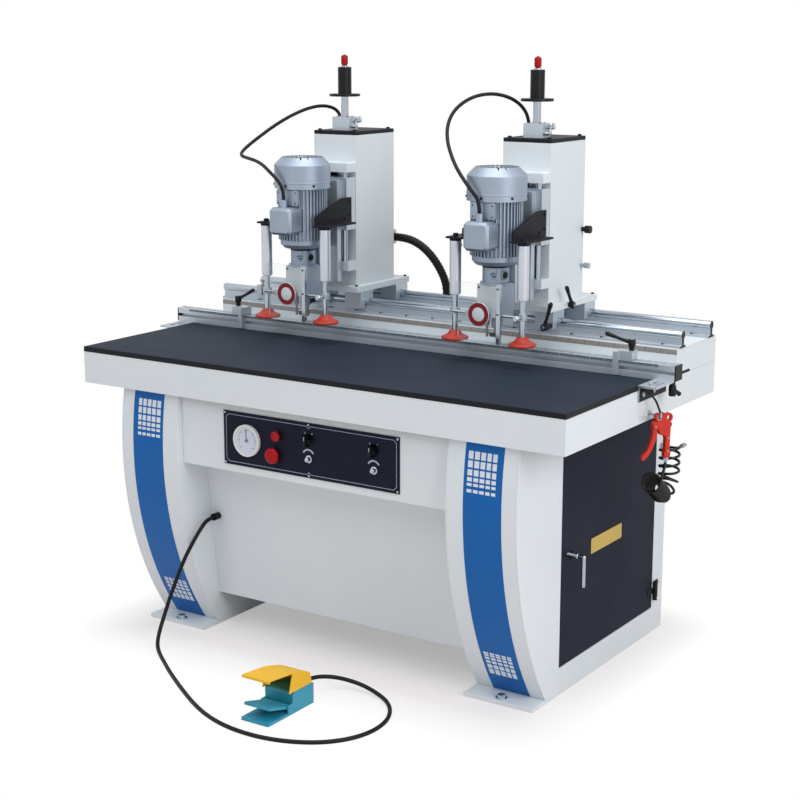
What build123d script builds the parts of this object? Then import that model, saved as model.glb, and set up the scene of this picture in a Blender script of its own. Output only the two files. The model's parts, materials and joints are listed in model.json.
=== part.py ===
from build123d import *

import os
from math import cos, pi, radians, sin, sqrt, tan

# Hinge boring machine with two heads.  Millimetres.  Z is up and the origin is on the floor under the
# middle of the table.  X runs along the fence to the operator's right, and Y from the operator to the rails.

os.makedirs("parts", exist_ok=True)

# Table and bed
table_length = 1708.0
table_height = 900.0
machine_depth = 966.0
deck_depth = 159.0
board_thickness = 16.0
board_chamfer = 1.0
apron_height = 99.0
frame_sheet = 4.0
beam_depth = 70.0
bed_width = 282.0
bed_rise = 62.0
bed_wall = 6.0

# Pedestals
leg_inner_x = 484.0
leg_width = 226.0
leg_sheet = 4.0
leg_rear_inset = 10.0
bow_radius = 1025.0
bow_center_z = 593.0
bow_apex_inset = 5.0
foot_plate_depth = 76.0
foot_plate_thickness = 12.0
level_bolt_r = 13.0
level_bolt_height = 11.0
level_bolt_inset = 23.0

# Front, knee and rear panels
panel_sheet = 4.0
upper_panel_inset = 33.0
upper_panel_height = 215.0
knee_top_inset = 138.0
knee_bottom_inset = 188.0
knee_bottom = 108.0
rear_panel_inset = 13.0
cord_gland_x = -454.0
cord_gland_z = 374.0
cord_gland_length = 26.0
electrics_depth = 70.0
electrics_front_y = -90.0
electrics_width = 300.0
electrics_low = 300.0
electrics_height = 300.0
electrics_corner = 6.0

# Control panel
control_half_x = 317.0
control_top_gap = 27.0
control_height = 165.0
control_plate = 3.0
gauge_x = -226.0
gauge_lift = 82.5
gauge_r = 48.5
gauge_depth = 10.0
gauge_rim = 5.0
gauge_recess = 6.0
dial_pin = 3.0
dial_pin_r = 2.0
needle_hub = 4.0
needle_hub_r = 5.0
needle_length = 34.0
needle_r = 1.2
needle_angle = radians(96)
start_x = -112.5
start_lift = 112.0
start_r = 15.0
start_height = 6.0
stop_button_x = -125.0
stop_button_lift = 52.0
stop_button_r = 24.0
stop_button_height = 14.0
stop_button_round = 5.0
button_stem_r = 6.0
button_push = 4.0
stem_play = 0.3
stem_end_gap = 0.5
knob_collar = 5.0
knob_collar_rim = 3.0
selector_xs = (0.0, 229.0)
selector_lift = 116.0
selector_r = 13.0
selector_base = 8.0
selector_grip = 10.0
selector_grip_half = 4.0
regulator_xs = (1.5, 231.5)
regulator_lift = 57.5
regulator_r = 12.0
regulator_length = 16.0
regulator_chamfer = 3.0
regulator_flutes = 12
regulator_flute_r = 1.6
regulator_flange = 6.0
knob_gap = 0.6

# Cabinet door
door_front_inset = 266.0
door_rear_inset = 87.0
door_bottom = 84.0
door_top_gap = 25.0
door_sheet = 3.0
door_pan = 18.0
door_gap = 2.0
hinge_pin_r = 3.5
hinge_knuckle_r = 7.0
hinge_play = 0.15
hinge_height = 60.0
hinge_leaf = 3.0
hinge_leaf_width = 30.0
hinge_low_inset = 54.0
hinge_high_inset = 70.0
door_handle_inset = 66.0
door_handle_z = 404.0
door_handle_reach = 36.0
door_handle_drop = 86.0
handle_rosette = 4.0
handle_rosette_r = 13.0
handle_bore_r = 6.0
handle_play = 0.2
handle_hub_r = 9.0
handle_grip_r = 6.0
handle_tail = 52.0
handle_tail_rise = 20.0
handle_tail_r = 4.0
handle_cam = 7.0

# Rails
rail_half = 859.0
rail_r = 12.5
rail_lift = 38.0
rail_front_inset = 26.0
rail_rear_inset = 49.0
rail_flange_half = 20.0
rail_flange = 7.0
rail_web_half = 8.0
rail_stop_x = -696.0
rail_stop_half = 10.0
rail_stop_reach = 21.0
thumb_stem_r = 4.0
thumb_stem = 6.0
thumb_knob_r = 9.5
thumb_knob = 12.0

# Fence
fence_half = 922.0
fence_size = 45.0
fence_cap = 4.0
slot_mouth = 10.0
slot_lip = 5.0
slot_inner = 18.0
slot_depth = 14.0
fence_core_r = 6.0
stay_lift = 14.0
stay_length = 70.0
stay_r = 4.0

# Fence stops
stop_xs = (-638.0, 738.0)
stop_bar = 14.0
stop_block = 39.0
stop_block_height = 26.0
stop_lever_place = 28.0
stop_bar_top = 26.0
stop_play = 0.5
stop_lift = 3.0
stop_rear_inset = 6.0
stop_front_inset = 2.0
lever_hub_r = 11.0
lever_hub_height = 32.0
lever_arm = 78.0
lever_rise = 18.0
lever_arm_r = 5.0
lever_ball = 2.0
lever_root_share = 0.7

# Side brackets and fence lock
bracket_reach = 57.0
bracket_front = 102.0
bracket_rear = 13.0
bracket_flange_rear = 76.0
bracket_plate = 6.0
bracket_drop = 48.0
bracket_slot_half = 4.0
bracket_slot_front = 18.0
bracket_slot_rear = 14.0
fence_lock_reach = 48.0
fence_lock_inset_y = 26.0
fence_lock_r = 10.0
fence_lock_head = 14.0
fence_lock_head_r = 12.0
fence_lock_length = 46.0
fence_lock_arm = (8.0, 30.0, -21.0)
fence_lock_arm_drop = 24.0
fence_lock_gap = 1.0

# Heads
head_xs = (-365.0, 346.0)
spindle_inset = 23.0
carriage_half = 106.0
carriage_front = 34.0
carriage_rear_inset = 9.0
carriage_lift = 36.0
carriage_thickness = 19.0
front_lock_offset = 22.0
front_lock_reach = 20.0
front_lock_drop = 8.0
front_lock_lean = 22.0
front_lock_arm = 72.0
side_lock_reach = 18.0
side_lock_inset = 84.0
side_lock_arm = 58.0
side_lock_lean = 42.0
bearing_x = 70.0
bearing_length = 64.0
bearing_width = 70.0
bearing_drop = 18.0
bearing_play = 0.3
bearing_mouth_play = 3.0
column_half = 82.5
column_reach = 176.0
column_depth = 220.0
column_height = 485.0
column_wall = 6.0
air_box_x = 15.0
air_box_width = 50.0
air_box_depth = 41.0
air_box_lift = 110.0
air_box_height = 48.0
top_plate = 12.0
guide_x = 58.0
guide_inset = 28.0
guide_r = 10.0
guide_play = 0.3
guide_bracket_depth = 45.0
guide_bracket_height = 29.0
upper_bracket_gap = 16.0
lower_bracket_lift = 52.0
column_slot_half = 30.0
slide_half = 82.0
slide_depth = 50.0
slide_gap = 2.0
slide_lift = 185.0
slide_height = 168.0
head_plate = 21.0
head_plate_half = 60.0
head_plate_lift = 20.0
head_plate_gap = 8.0
head_web_half = 42.0
head_web_height = 115.0

# Air feed cylinder of each head
feed_inset = 58.0
feed_arm_half = 25.0
feed_arm_lift = 60.0
feed_arm_height = 50.0
feed_arm_rear = 10.0
feed_rod_r = 12.5
feed_rod_play = 0.3
feed_tube_r = 32.0
feed_bore_r = 26.0
feed_tube_gap = 25.0
feed_cap = 15.0
feed_piston = 15.0
feed_piston_gap = 4.0
feed_block_x = 66.0
feed_block_y = 50.0
feed_block_height = 43.0
plate_bolt_inset = 14.0
plate_bolt_r = 6.0
plate_bolt_height = 5.0
valve_places = ((-10.0, 14.0), (12.0, 30.0))
valve_body = 14.0
valve_body_r = 7.0
valve_neck = 8.0
valve_neck_r = 5.0
valve_rise = 14.0
side_knobs = ((10.0, 210.0, 12.0), (14.0, 98.0, 9.0))
side_knob_stem = 12.0
side_knob_stem_share = 0.6
side_knob_length = 18.0
stop_flange_r = 50.0
stop_flange = 8.0
stop_flange_gap = 65.0
stop_sleeve_r = 22.0
stop_sleeve_length = 85.0
feed_cap_r = 12.5
feed_cap_height = 36.0
feed_cap_round = 3.0
feed_cap_gap = 4.0

# Drill head and spindles
box_half = 40.5
box_front = 40.0
box_back = 42.0
box_drop = 8.0
box_height = 89.0
gear_floor = 41.0
gear_wall = 4.0
gear_r = 12.0
gear_width = 16.0
gear_lift = 8.0
neck_r = 40.0
neck_height = 58.0
neck_bore = 20.0
neck_plug_x = 14.0
neck_plug_r = 8.0
neck_plug_reach = 4.0
dowel_x = 22.5
dowel_y = -9.5
cup_shaft_r = 8.0
dowel_shaft_r = 6.0
shaft_play = 0.1
chuck_gap = 0.6
shaft_end_gap = 2.0
cup_chuck_r = 11.0
cup_chuck_length = 43.0
cup_cutter_r = 17.5
cup_cutter_length = 13.0
cup_shank = 13.0
cup_shank_r = 5.0
cup_tip = 5.0
cup_tip_r = 3.0
cup_point_r = 0.4
cup_gullet = 8.0
dowel_chuck_r = 7.5
dowel_chuck_length = 36.0
dowel_drill_r = 4.0
dowel_drill_length = 35.0

# Motor
motor_bell = 27.0
motor_bell_chamfer = 12.0
motor_bell_r = 72.0
motor_core_r = 68.0
motor_fin_r = 78.0
motor_fin = 4.0
motor_fins = 42
motor_body = 162.0
cowl_r = 89.0
cowl_height = 97.0
cowl_chamfer = 24.0
terminal_half = 43.0
terminal_front = 124.0
terminal_height = 85.0
terminal_lift = 49.0
terminal_chamfer = 8.0
terminal_corner = 11.0
gland_r = 11.0
gland_height = 24.0
motor_gland_front = 99.0

# Hold-down clamps
clamp_x = 115.5
clamp_front = 41.0
clamp_r = 17.5
clamp_length = 166.0
clamp_rod_r = 9.0
clamp_play = 0.3
clamp_head = 8.0
clamp_nut = 9.0
clamp_nut_r = 8.0
clamp_port_r = 6.0
clamp_port_reach = 10.0
clamp_port_drop = 22.0
pad_r = 41.0
pad_drop = 91.0
pad_height = 28.0
pad_rim = 9.0
pad_rim_round = 3.0
pad_shoulder_r = 36.0
pad_neck_r = 16.0
collar_r = 14.0
collar_height = 20.0
collar_gap = 40.0
bar_r = 5.0
bar_front = 12.0
guard_left = 92.0
guard_right = 54.0
guard_height = 175.0
guard_thickness = 4.0
guard_front = 23.0
guard_lift = 4.0
guard_corner = 8.0
guard_post_xs = (-62.0, 28.0)
guard_post_half = 7.0
guard_post_half_height = 8.0
disc_r = 36.0
disc_x = -20.0
disc_drop = 1.0
disc_thickness = 2.0
clamp_rod_rise = 109.0
shelf_lift = 27.0
gusset = 6.0
gusset_height = 79.0
gusset_nose = 31.0
gusset_front = 10.0
gusset_top_reach = 33.0
gusset_rear_inset = 30.0
shelf_margin = 4.0
shelf_reach = 56.0
shelf_rear_inset = 76.0
shelf = 6.0

# Cables and hoses
cable_r = 5.5
cable_gland_x = 64.0
cable_gland_inset = 125.0
cable_gland_height = 14.0
conduit_r = 13.5
conduit_inset = 24.0
conduit_lift = 134.0
conduit_end_x = -104.0
bed_gland_height = 18.0
bed_gland_r = 14.0
pedal_cord_r = 5.5
hose_r = 4.0
coil_r = 29.0
coil_pitch = 9.4
coil_turns = 7.0
coil_drop = 190.0
coil_sag = 48.0
bend_r = 55.0
bend_turns = 3.0
rise_pitch = 24.0
rise_turns = 3.07
fitting_inset = 43.0
fitting_drop = 198.0
fitting_reach = 25.0
fitting_r = 6.0
fitting_nut = 9.0
fitting_nut_r = 10.0

# Foot pedal
pedal_x = 106.0
pedal_width = 98.0
pedal_rear_y = -646.0
pedal_length = 214.0
pedal_base = 8.0
pedal_body_depth = 98.0
pedal_body_top = 63.0
pedal_pin_r = 4.0
pedal_pin_play = 0.15
pedal_pin_z = 22.0
pedal_lug = 4.0
pedal_lug_r = 9.0
pedal_body_inset = 4.0
pedal_pin_reach = 12.0
pedal_round = 8.0
cord_entry_z = 44.0
cord_entry_length = 18.0
cord_entry_r = 9.0
hood_sheet = 3.0
hood_tip = 131.0
hood_tip_inset = 10.0
hood_lip = 22.0
hood_rear_inset = 11.0
hood_rear_lean = 18.0
hood_rear_rise = 39.0
hood_ridge_rise = 57.0
hood_overlap = 20.0
hood_mouth = 18.0
hood_mouth_rise = 30.0
tread_gap = 1.0
tread_thickness = 8.0
tread_front_inset = 12.0
tread_front_z = 42.0
tread_hub = 4.0

# Air gun
gun_reach = 37.0
gun_front = 40.0
gun_drop = 98.0
gun_turn = 60.0
gun_thickness = 16.0
gun_outline = ((-21.0, 22.0), (34.0, 22.0), (42.0, 12.0), (42.0, -36.0), (37.0, -44.0), (37.0, -118.0),
               (33.0, -121.0), (12.0, -121.0), (8.0, -117.0), (8.0, -44.0), (2.0, -38.0), (-21.0, -6.0))
ear_outline = ((-29.0, -24.0), (-22.0, -32.0), (-10.0, -26.0), (0.0, -12.0), (-16.0, -6.0))
trigger_outline = ((-27.0, -26.0), (-66.0, -116.0), (-61.0, -121.0), (-55.0, -112.0), (-23.0, -38.0),
                   (-17.0, -26.0))
nozzle_places = ((4.0, 16.0), (-1.0, 32.0), (-12.0, 52.0), (-27.0, 72.0), (-46.0, 82.0))
pivot = (-22.0, -24.0)
socket_place = (22.0, -121.0)
gun_eye = (35.0, 12.0)
gun_eye_r = 3.0
gun_hole_r = 6.0
hook_r = 3.0
hook_play = 0.5
hook_reach = 14.0
hook_washer = 4.0
hook_washer_r = 9.0
trigger_thickness = 8.0
trigger_pin_r = 2.0
trigger_play = 0.15
trigger_gap = 0.5
trigger_hub_r = 5.5
nozzle_r = 3.0
nozzle_bend = 30.0
socket_length = 12.0
socket_r = 6.0

# Heights and planes that follow from the sizes above
front_y = -machine_depth / 2
rear_y = machine_depth / 2
half_length = table_length / 2
board_bottom = table_height - board_thickness
apron_bottom = board_bottom - apron_height
bed_front_y = rear_y - bed_width
board_rear_y = bed_front_y - deck_depth
bed_top = table_height + bed_rise
rail_z = bed_top + rail_lift
rail_ys = (bed_front_y + rail_front_inset, rear_y - rail_rear_inset)
leg_outer_x = leg_inner_x + leg_width
leg_rear_y = rear_y - leg_rear_inset
carriage_bottom = rail_z + carriage_lift
carriage_top = carriage_bottom + carriage_thickness
fence_front_y = board_rear_y
fence_rear_y = fence_front_y + fence_size
fence_top = table_height + fence_size
spindle_y = fence_front_y - spindle_inset
column_front_y = spindle_y + column_reach
column_rear_y = column_front_y + column_depth
guide_y = column_front_y - guide_inset
feed_y = column_front_y + feed_inset
cable_gland_y = column_front_y + cable_gland_inset
column_top = carriage_top + column_height
plate_top = column_top + top_plate
slide_bottom = carriage_top + slide_lift
slide_top = slide_bottom + slide_height
slide_rear_y = column_front_y - slide_gap
slide_front_y = slide_rear_y - slide_depth
feed_arm_low = slide_bottom + feed_arm_lift
box_bottom = carriage_top - box_drop
box_top = box_bottom + box_height
motor_low = box_top + neck_height
motor_gland_top = motor_low + terminal_lift + terminal_height + gland_height
motor_gland_y = spindle_y - motor_gland_front
clamp_y = spindle_y - clamp_front
shelf_low = slide_bottom + shelf_lift
upper_panel_bottom = apron_bottom - upper_panel_height
panel_front_y = front_y + upper_panel_inset
control_front_y = panel_front_y - control_plate
control_bottom = apron_bottom - control_top_gap - control_height
gauge_z = control_bottom + gauge_lift
start_z = control_bottom + start_lift
stop_button_z = control_bottom + stop_button_lift
selector_z = control_bottom + selector_lift
regulator_z = control_bottom + regulator_lift
door_front_y = front_y + door_front_inset
door_rear_y = rear_y - door_rear_inset
door_top = apron_bottom - door_top_gap
door_handle_y = door_front_y + door_handle_inset
hinge_zs = (door_bottom + hinge_low_inset, door_top - hinge_high_inset)
gun_x = half_length + gun_reach
gun_y = fence_front_y - gun_front
gun_z = table_height - gun_drop


def block(x0, x1, y0, y1, z0, z1):
    """Box between two opposite corners."""
    return Pos((x0 + x1) / 2, (y0 + y1) / 2, (z0 + z1) / 2) * Box(x1 - x0, y1 - y0, z1 - z0)


def rod_x(x0, x1, y, z, r):
    """Round bar along X."""
    return Pos((x0 + x1) / 2, y, z) * Rot(0, 90, 0) * Cylinder(r, abs(x1 - x0))


def rod_y(x, y0, y1, z, r):
    """Round bar along Y."""
    return Pos(x, (y0 + y1) / 2, z) * Rot(90, 0, 0) * Cylinder(r, abs(y1 - y0))


def rod_z(x, y, z0, z1, r):
    """Round bar along Z."""
    return Pos(x, y, (z0 + z1) / 2) * Cylinder(r, z1 - z0)


def rod_between(p, q, r):
    """Round bar from one point to another."""
    axis = Vector(*q) - Vector(*p)
    bar = Cylinder(r, axis.length, align=(Align.CENTER, Align.CENTER, Align.MIN))
    return Plane(origin=p, z_dir=axis) * bar


def prism_x(outline, x0, x1):
    """Outline of (y, z) points pushed from x0 to x1."""
    face = make_face(Polyline(*outline, close=True))
    return Plane(origin=(x0, 0, 0), x_dir=(0, 1, 0), z_dir=(1, 0, 0)) * extrude(face, x1 - x0)


def save(name, *shapes):
    """Write one node; its solids stay separate."""
    solids = [solid for shape in shapes for solid in shape.solids()]
    export_step(solids[0] if len(solids) == 1 else Compound(solids), f"parts/{name}.step")


def bend_radii(points, share=0.45):
    """Fillet radius at each inner point from the shorter of its two runs."""
    radii = []
    for a, b, c in zip(points, points[1:], points[2:]):
        before = Vector(*b) - Vector(*a)
        after = Vector(*c) - Vector(*b)
        turn = radians(before.get_angle(after))
        radii.append(share * min(before.length, after.length) / tan(turn / 2))
    return radii


def cord(name, points, r):
    """Round cord on straight runs and tangent arcs."""
    radii = bend_radii(points)
    path = FilletPolyline(*points, radius=radii)
    body = sweep(Plane(origin=path @ 0, z_dir=path % 0) * Circle(r), path=path)
    runs = [(Vector(*q) - Vector(*p)).length for p, q in zip(points, points[1:])]
    ratio = body.volume / (pi * r * r * path.length)
    print(name, "length", round(path.length), "least radius", round(min(radii) / (2 * r), 1), "diameters,",
          "longest run", round(max(runs)), "volume ratio", round(ratio, 4))
    return body


def bow_y(z, inset=0.0):
    """Front of the pedestal at height z."""
    radius = bow_radius - inset
    center_y = front_y + bow_apex_inset + bow_radius
    return center_y - sqrt(radius * radius - (z - bow_center_z) ** 2)


def bow_prism(x0, x1, z0, z1, rear, inset):
    """Pedestal section with the bow front, between two heights."""
    middle = (z0 + z1) / 2
    front = ThreePointArc((bow_y(z0, inset), z0), (bow_y(middle, inset), middle), (bow_y(z1, inset), z1))
    back = Polyline((bow_y(z1, inset), z1), (rear, z1), (rear, z0), (bow_y(z0, inset), z0))
    face = make_face([front, back])
    return Plane(origin=(x0, 0, 0), x_dir=(0, 1, 0), z_dir=(1, 0, 0)) * extrude(face, x1 - x0)


def pedestal(hand):
    """Plates of one leg: walls, bow front, rear, top, floor and foot plate, and the levelling bolt."""
    x0, x1 = sorted((hand * leg_inner_x, hand * leg_outer_x))
    outer_x = x1 - leg_sheet if hand > 0 else x0
    inner_x = x0 if hand > 0 else x1 - leg_sheet
    a, b = x0 + leg_sheet, x1 - leg_sheet
    inner_rear_y = leg_rear_y - leg_sheet
    outer_wall = bow_prism(outer_x, outer_x + leg_sheet, 0, apron_bottom, leg_rear_y, 0)
    inner_wall = bow_prism(inner_x, inner_x + leg_sheet, 0, apron_bottom, leg_rear_y, 0)
    bow = bow_prism(a, b, 0, apron_bottom, inner_rear_y, 0)
    bow -= bow_prism(a, b, 0, apron_bottom, inner_rear_y, leg_sheet)
    rear = block(a, b, inner_rear_y, leg_rear_y, 0, apron_bottom)
    top = bow_prism(a, b, apron_bottom - leg_sheet, apron_bottom, inner_rear_y, leg_sheet)
    floor = bow_prism(a, b, 0, foot_plate_thickness, inner_rear_y, leg_sheet)
    foot_front = bow_y(foot_plate_thickness) - foot_plate_depth
    foot = block(x0, x1, foot_front, bow_y(0) + leg_sheet, 0, foot_plate_thickness)
    foot -= bow_prism(x0, x1, -1, foot_plate_thickness + 1, leg_rear_y, 0)
    bolt_x = hand * (leg_inner_x + leg_width / 2)
    bolt_y = foot_front + level_bolt_inset
    bolt_head = extrude(RegularPolygon(level_bolt_r, 6), level_bolt_height)
    bolt = Pos(bolt_x, bolt_y, foot_plate_thickness) * bolt_head
    return outer_wall, [inner_wall, bow, rear, top, floor, foot, bolt]


def door_wall():
    """Outer wall of the right leg as the four strips round the cabinet door."""
    x0, x1 = leg_outer_x - leg_sheet, leg_outer_x
    low, high = door_bottom - door_gap, door_top + door_gap
    front, rear = door_front_y - door_gap, door_rear_y + door_gap
    return [
        bow_prism(x0, x1, 0, apron_bottom, front, 0),
        block(x0, x1, rear, leg_rear_y, 0, apron_bottom),
        block(x0, x1, front, rear, 0, low),
        block(x0, x1, front, rear, high, apron_bottom),
    ]


# Pedestals, with the pin halves of the door hinges on the right one
left_wall, left_plates = pedestal(-1)
save("left_pedestal", left_wall, *left_plates)
right_plates = pedestal(1)[1]
hinge_x = leg_outer_x + hinge_knuckle_r
hinge_y = door_rear_y + door_gap + hinge_knuckle_r
hinge_pins = []
for hinge_z in hinge_zs:
    low, high = hinge_z - hinge_height / 2, hinge_z + hinge_height / 2
    third = hinge_height / 3
    pin = rod_z(hinge_x, hinge_y, low, high, hinge_pin_r)
    for knuckle_low in (low, high - third):
        pin += rod_z(hinge_x, hinge_y, knuckle_low, knuckle_low + third, hinge_knuckle_r)
        pin += block(leg_outer_x, hinge_x, hinge_y, hinge_y + hinge_knuckle_r, knuckle_low,
                     knuckle_low + third)
    pin += block(leg_outer_x, leg_outer_x + hinge_leaf, hinge_y + hinge_knuckle_r - 1,
                 hinge_y + hinge_leaf_width, low, high)
    hinge_pins.append(pin)
save("right_pedestal", *door_wall(), *right_plates, *hinge_pins)

# Upper front panel, shelf, slanted knee panel, rear panel, electrics box and pedal cord gland
knee_top_y = front_y + knee_top_inset
knee_bottom_y = front_y + knee_bottom_inset
shelf_top = upper_panel_bottom + panel_sheet
upper_panel = block(-leg_inner_x, leg_inner_x, panel_front_y, panel_front_y + panel_sheet,
                    upper_panel_bottom, apron_bottom)
for x, z in ((start_x, start_z), (stop_button_x, stop_button_z)):
    upper_panel -= rod_y(x, panel_front_y - 1, panel_front_y + panel_sheet + 1, z, button_stem_r + stem_play)
knee_shelf = block(-leg_inner_x, leg_inner_x, panel_front_y + panel_sheet, knee_top_y + panel_sheet,
                   upper_panel_bottom, shelf_top)
knee_outline = [(knee_top_y, upper_panel_bottom), (knee_bottom_y, knee_bottom),
                (knee_bottom_y + panel_sheet, knee_bottom), (knee_top_y + panel_sheet, upper_panel_bottom)]
knee_panel = prism_x(knee_outline, -leg_inner_x, leg_inner_x)
rear_panel_y = rear_y - rear_panel_inset
rear_sheet = block(-leg_inner_x, leg_inner_x, rear_panel_y - panel_sheet, rear_panel_y, knee_bottom,
                   apron_bottom)
knee_share = (upper_panel_bottom - cord_gland_z) / (upper_panel_bottom - knee_bottom)
knee_y = knee_top_y + (knee_bottom_y - knee_top_y) * knee_share
cord_gland_front = knee_y - cord_gland_length
cord_gland = rod_y(cord_gland_x, cord_gland_front, knee_y + 2, cord_gland_z, gland_r)
cord_gland -= knee_panel
electrics_x = leg_inner_x + leg_sheet
electrics = block(electrics_x, electrics_x + electrics_depth, electrics_front_y,
                  electrics_front_y + electrics_width, electrics_low, electrics_low + electrics_height)
electrics = fillet(electrics.edges().filter_by(Axis.X), electrics_corner)
save("base_panels", upper_panel, knee_shelf, knee_panel, rear_sheet, cord_gland, electrics)

# Table frame: top sheet, aprons and cross beams over the legs
frame_top = board_bottom - frame_sheet
side_inner = half_length - frame_sheet
frame_parts = [
    block(-half_length, half_length, front_y, rear_y, frame_top, board_bottom),
    block(-half_length, half_length, front_y, front_y + frame_sheet, apron_bottom, frame_top),
    block(-half_length, half_length, rear_y - frame_sheet, rear_y, apron_bottom, frame_top),
]
for x0 in (-half_length, side_inner):
    frame_parts.append(block(x0, x0 + frame_sheet, front_y + frame_sheet, rear_y - frame_sheet,
                             apron_bottom, frame_top))
for beam_x0 in (-leg_outer_x, leg_inner_x):
    for beam_y0 in (front_y + frame_sheet, rear_y - frame_sheet - beam_depth):
        frame_parts.append(block(beam_x0, beam_x0 + leg_width, beam_y0, beam_y0 + beam_depth,
                                 apron_bottom, frame_top))
save("table_frame", *frame_parts)

# Table board
board = block(-half_length, half_length, front_y, board_rear_y, board_bottom, table_height)
board = chamfer(board.edges().filter_by(Axis.X).group_by(Axis.Z)[-1], board_chamfer)
save("table_board", board)

# Bed: flat deck behind the board and the raised hollow beam for the rails
bed_side = half_length - bed_wall
bed_parts = [
    block(-half_length, half_length, board_rear_y, bed_front_y, board_bottom, table_height),
    block(-half_length, half_length, bed_front_y, bed_front_y + bed_wall, board_bottom, bed_top - bed_wall),
    block(-half_length, half_length, rear_y - bed_wall, rear_y, board_bottom, bed_top - bed_wall),
    block(-half_length, half_length, bed_front_y, rear_y, bed_top - bed_wall, bed_top),
]
for x0 in (-half_length, bed_side):
    bed_parts.append(block(x0, x0 + bed_wall, bed_front_y + bed_wall, rear_y - bed_wall, board_bottom,
                           bed_top - bed_wall))
save("bed", *bed_parts)

# Rails on their supports, and the rail stop with its thumb knob
rail_parts = []
for rail_y in rail_ys:
    shaft = rod_x(-rail_half, rail_half, rail_y, rail_z, rail_r)
    support = block(-rail_half, rail_half, rail_y - rail_flange_half, rail_y + rail_flange_half,
                    bed_top, bed_top + rail_flange)
    support += block(-rail_half, rail_half, rail_y - rail_web_half, rail_y + rail_web_half, bed_top, rail_z)
    support -= shaft
    rail_parts += [shaft, support]
front_rail_y = rail_ys[0]
rail_stop_top = rail_z + rail_stop_reach
thumb_low = rail_stop_top + thumb_stem
rail_stop = block(rail_stop_x - rail_stop_half, rail_stop_x + rail_stop_half,
                  front_rail_y - rail_stop_reach, front_rail_y + rail_stop_reach, rail_z - rail_r,
                  rail_stop_top)
rail_stop += rod_z(rail_stop_x, front_rail_y, rail_stop_top, thumb_low, thumb_stem_r)
rail_stop += rod_z(rail_stop_x, front_rail_y, thumb_low, thumb_low + thumb_knob, thumb_knob_r)
rail_stop -= rail_parts[0]
rail_stop -= rail_parts[1]
save("rails", *rail_parts, rail_stop)


def fence_section():
    """Square extrusion with a T slot in front and on top and a round core hole."""
    half = fence_size / 2
    section = Rectangle(fence_size, fence_size) - Circle(fence_core_r)
    lip = half - slot_lip / 2
    inner = half - slot_lip - (slot_depth - slot_lip) / 2
    for turn in (90, 180):
        section -= Rot(0, 0, turn) * (Pos(lip, 0) * Rectangle(slot_lip, slot_mouth))
        section -= Rot(0, 0, turn) * (Pos(inner, 0) * Rectangle(slot_depth - slot_lip, slot_inner))
    return section


# Fence: extrusion, end caps and the stay rod at the right end
fence_center_y = (fence_front_y + fence_rear_y) / 2
fence_center_z = table_height + fence_size / 2
fence_body = fence_half - fence_cap
fence_end = Plane(origin=(-fence_body, fence_center_y, fence_center_z), x_dir=(0, 1, 0), z_dir=(1, 0, 0))
profile = fence_end * extrude(fence_section(), 2 * fence_body)
caps = [block(x0, x0 + fence_cap, fence_front_y, fence_rear_y, table_height, fence_top)
        for x0 in (-fence_half, fence_body)]
stay = rod_y(fence_body - 2 * stay_r, fence_rear_y, fence_rear_y + stay_length, table_height + stay_lift,
             stay_r)

# Side brackets under the fence ends, and the hook for the air gun
gun_normal = (sin(radians(gun_turn)), -cos(radians(gun_turn)))
hook_z = gun_z + gun_hole_r - hook_r - hook_play
hook_back = gun_reach / gun_normal[0]
hook_root = (half_length, gun_y - hook_back * gun_normal[1], hook_z)
hook_end = (gun_x + hook_reach * gun_normal[0], gun_y + hook_reach * gun_normal[1], hook_z)
hook = rod_between(hook_root, hook_end, hook_r) + Pos(*hook_end) * Sphere(hook_r)
hook += rod_between(hook_end, (hook_end[0], hook_end[1], hook_z + hook_reach), hook_r)
hook += rod_x(half_length, half_length + hook_washer, hook_root[1], hook_z, hook_washer_r)
hook -= block(half_length - hook_reach, half_length, hook_root[1] - hook_reach, hook_root[1] + hook_reach,
              hook_z - hook_reach, hook_z + hook_reach)
bracket_front_y = fence_front_y - bracket_front
bracket_rear_y = fence_front_y + bracket_rear
flange_rear_y = fence_front_y + bracket_flange_rear
brackets = []
for hand in (-1, 1):
    x0, x1 = sorted((hand * half_length, hand * (half_length + bracket_reach)))
    bracket = block(x0, x1, bracket_front_y, bracket_rear_y, table_height - bracket_plate, table_height)
    flange_x = sorted((hand * half_length, hand * (half_length + bracket_plate)))
    bracket += block(*flange_x, bracket_front_y, flange_rear_y, table_height - bracket_drop, table_height)
    for slot_share in (0.42, 0.78):
        slot_x = hand * (half_length + bracket_reach * slot_share)
        bracket -= block(slot_x - bracket_slot_half, slot_x + bracket_slot_half,
                         bracket_front_y + bracket_slot_front, fence_front_y - bracket_slot_rear,
                         table_height - bracket_plate - 1, table_height + 1)
    brackets.append(bracket)
save("fence", profile, *caps, stay, *brackets, hook)

# Control panel with the gauge case and the fixed collars of its knobs
control_top = control_bottom + control_height
panel = block(-control_half_x, control_half_x, control_front_y, panel_front_y, control_bottom, control_top)
gauge_front_y = control_front_y - gauge_depth
panel += rod_y(gauge_x, gauge_front_y, control_front_y, gauge_z, gauge_r)
panel -= rod_y(gauge_x, gauge_front_y - 1, gauge_front_y + gauge_recess, gauge_z, gauge_r - gauge_rim)
dial_y = gauge_front_y + gauge_recess
panel += rod_y(gauge_x, dial_y - dial_pin, dial_y, gauge_z, dial_pin_r)
collar_y = control_front_y - knob_collar
panel += rod_y(start_x, collar_y, control_front_y, start_z, start_r + knob_collar_rim)
panel += rod_y(stop_button_x, collar_y, control_front_y, stop_button_z, stop_button_r + knob_collar_rim)
for x in selector_xs:
    panel += rod_y(x, collar_y, control_front_y, selector_z, selector_r + knob_collar_rim)
for x, z in ((start_x, start_z), (stop_button_x, stop_button_z)):
    panel -= rod_y(x, collar_y - 1, panel_front_y + 1, z, button_stem_r + stem_play)
save("control_panel", panel)

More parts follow.
